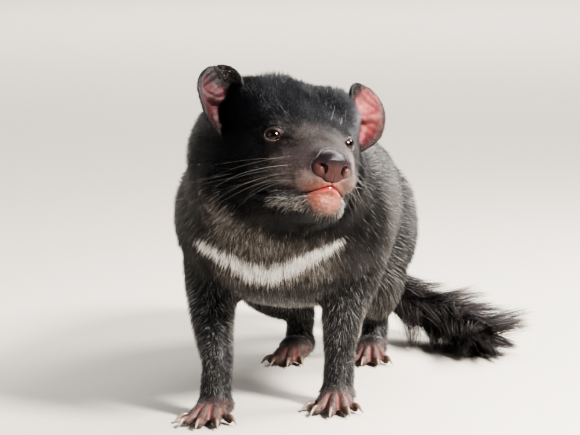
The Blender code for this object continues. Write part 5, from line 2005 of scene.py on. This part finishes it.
@dataclass(frozen=True)
class Lamp:
    """A square soft light: where it stands, what it faces, how large and how strong it is, and its colour."""

    name: str
    at: Point
    towards: Point
    size: float
    power: float
    colour: Colour

    def build(self) -> None:
        """Makes the light."""
        light = bpy.data.lights.new(self.name, "AREA")
        light.size, light.energy, light.color = self.size, self.power, self.colour
        obj = bpy.data.objects.new(self.name, light)
        obj.location = self.at
        obj.rotation_mode = "QUATERNION"
        obj.rotation_quaternion = (Vector(self.towards) - Vector(self.at)).to_track_quat("-Z", "Y")
        bpy.context.scene.collection.objects.link(obj)


LAMP_AIM = (0.0, 0.0, 0.15)
LAMPS = (
    Lamp("key", (1.35, -0.90, 1.40), LAMP_AIM, 0.42, 122.0, (1.0, 0.965, 0.915)),
    Lamp("fill", (-1.30, -1.35, 0.80), LAMP_AIM, 1.30, 8.0, (0.88, 0.94, 1.0)),
    Lamp("rim", (1.05, 0.80, 1.35), LAMP_AIM, 0.60, 40.0, (1.0, 0.98, 0.95)),
    Lamp("backdrop", (0.0, 9.0, 7.0), (0.0, 9.5, 0.0), 9.0, 1500.0, (1.0, 0.98, 0.95)),
)


@dataclass
class Studio:
    """The floor, the lights and the camera."""

    anatomy: Anatomy
    distance: float = 2.2
    azimuth: float = math.radians(10)
    pitch: float = math.radians(7)
    focal_pixels: float = 2412.0
    width_pixels: float = 580.0
    sensor: float = 36.0
    aim_right: float = 0.006
    aim_up: float = 0.166
    sky: Colour = (0.80, 0.82, 0.85)
    sky_strength: float = 0.36
    floor_half: float = 40.0
    floor_colour: Colour = (0.62, 0.575, 0.51)
    floor_grain: float = 260.0
    floor_swing: float = 0.03
    floor_roughness: float = 0.8

    def view(self) -> tuple[Vector, Vector, Vector]:
        """The camera's own right, up and forward."""
        a, p = self.azimuth, self.pitch
        forward = Vector((-math.sin(a) * math.cos(p), math.cos(a) * math.cos(p), -math.sin(p)))
        right = Vector((math.cos(a), math.sin(a), 0))
        return right, right.cross(forward), forward

    def build(self) -> None:
        """Makes all of it."""
        self.camera()
        self.floor()
        for lamp in LAMPS:
            lamp.build()
        scene = bpy.context.scene
        scene.world = bpy.data.worlds.new("studio")
        scene.world.use_nodes = True
        background = scene.world.node_tree.nodes["Background"]
        background.inputs["Color"].default_value = (*self.sky, 1)
        background.inputs["Strength"].default_value = self.sky_strength
        scene.view_settings.view_transform = "AgX"
        scene.view_settings.look = "AgX - High Contrast"

    def camera(self) -> None:
        """Makes the camera at the photograph's angle and framing."""
        right, up, forward = self.view()
        lens = bpy.data.cameras.new("camera")
        lens.sensor_width = self.sensor
        lens.lens = self.focal_pixels * self.sensor / self.width_pixels
        obj = bpy.data.objects.new("camera", lens)
        aim = right * self.aim_right + up * self.aim_up + self.anatomy.shift
        obj.location = aim - forward * self.distance
        obj.rotation_mode = "QUATERNION"
        obj.rotation_quaternion = Matrix((right, up, -forward)).transposed().to_quaternion()
        bpy.context.scene.collection.objects.link(obj)
        bpy.context.scene.camera = obj

    def floor(self) -> None:
        """Makes a wide pale floor with a faint grain."""
        corners = np.array([(-1, -1, 0), (1, -1, 0), (1, 1, 0), (-1, 1, 0)]) * self.floor_half
        obj = made_object("floor", made_mesh("floor", corners, np.array([[0, 1, 2, 3]])))
        made = bpy.data.materials.new("floor_finish")
        made.use_nodes = True
        shader = made.node_tree.nodes["Principled BSDF"]
        shader.inputs["Roughness"].default_value = self.floor_roughness
        mottle = mottled(made.node_tree, self.floor_grain, self.floor_swing)
        mottle.inputs["Color"].default_value = (*self.floor_colour, 1)
        wired(made.node_tree, (mottle, "Color", shader, "Base Color"))
        obj.data.materials.append(made)


def main() -> None:
    """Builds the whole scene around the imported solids."""
    logging.basicConfig(level=logging.INFO, format="%(relativeCreated)6d ms %(message)s")
    for obj in list(bpy.data.objects):
        bpy.data.objects.remove(obj, do_unlink=True)
    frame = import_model()
    anatomy = Anatomy()
    Studio(anatomy).build()
    lie, markings = Lie(anatomy), Markings(anatomy)
    skin = Skin(anatomy, lie, markings).build(frame)
    tree = BVHTree.FromPolygons(vertex_points(skin.data).tolist(), triangles_of(skin.data).tolist())
    Coat(anatomy, lie, markings, skin).build()
    Brush(anatomy).build()
    Nose(anatomy).build()
    for side in Side:
        Eye(anatomy, side).build()
        Ear(anatomy, side).build()
    Lips(anatomy, tree).build()
    for foot in FEET:
        Claws(anatomy, foot).build()
    Whiskers(anatomy, tree).build()


if __name__ == "__main__":
    main()
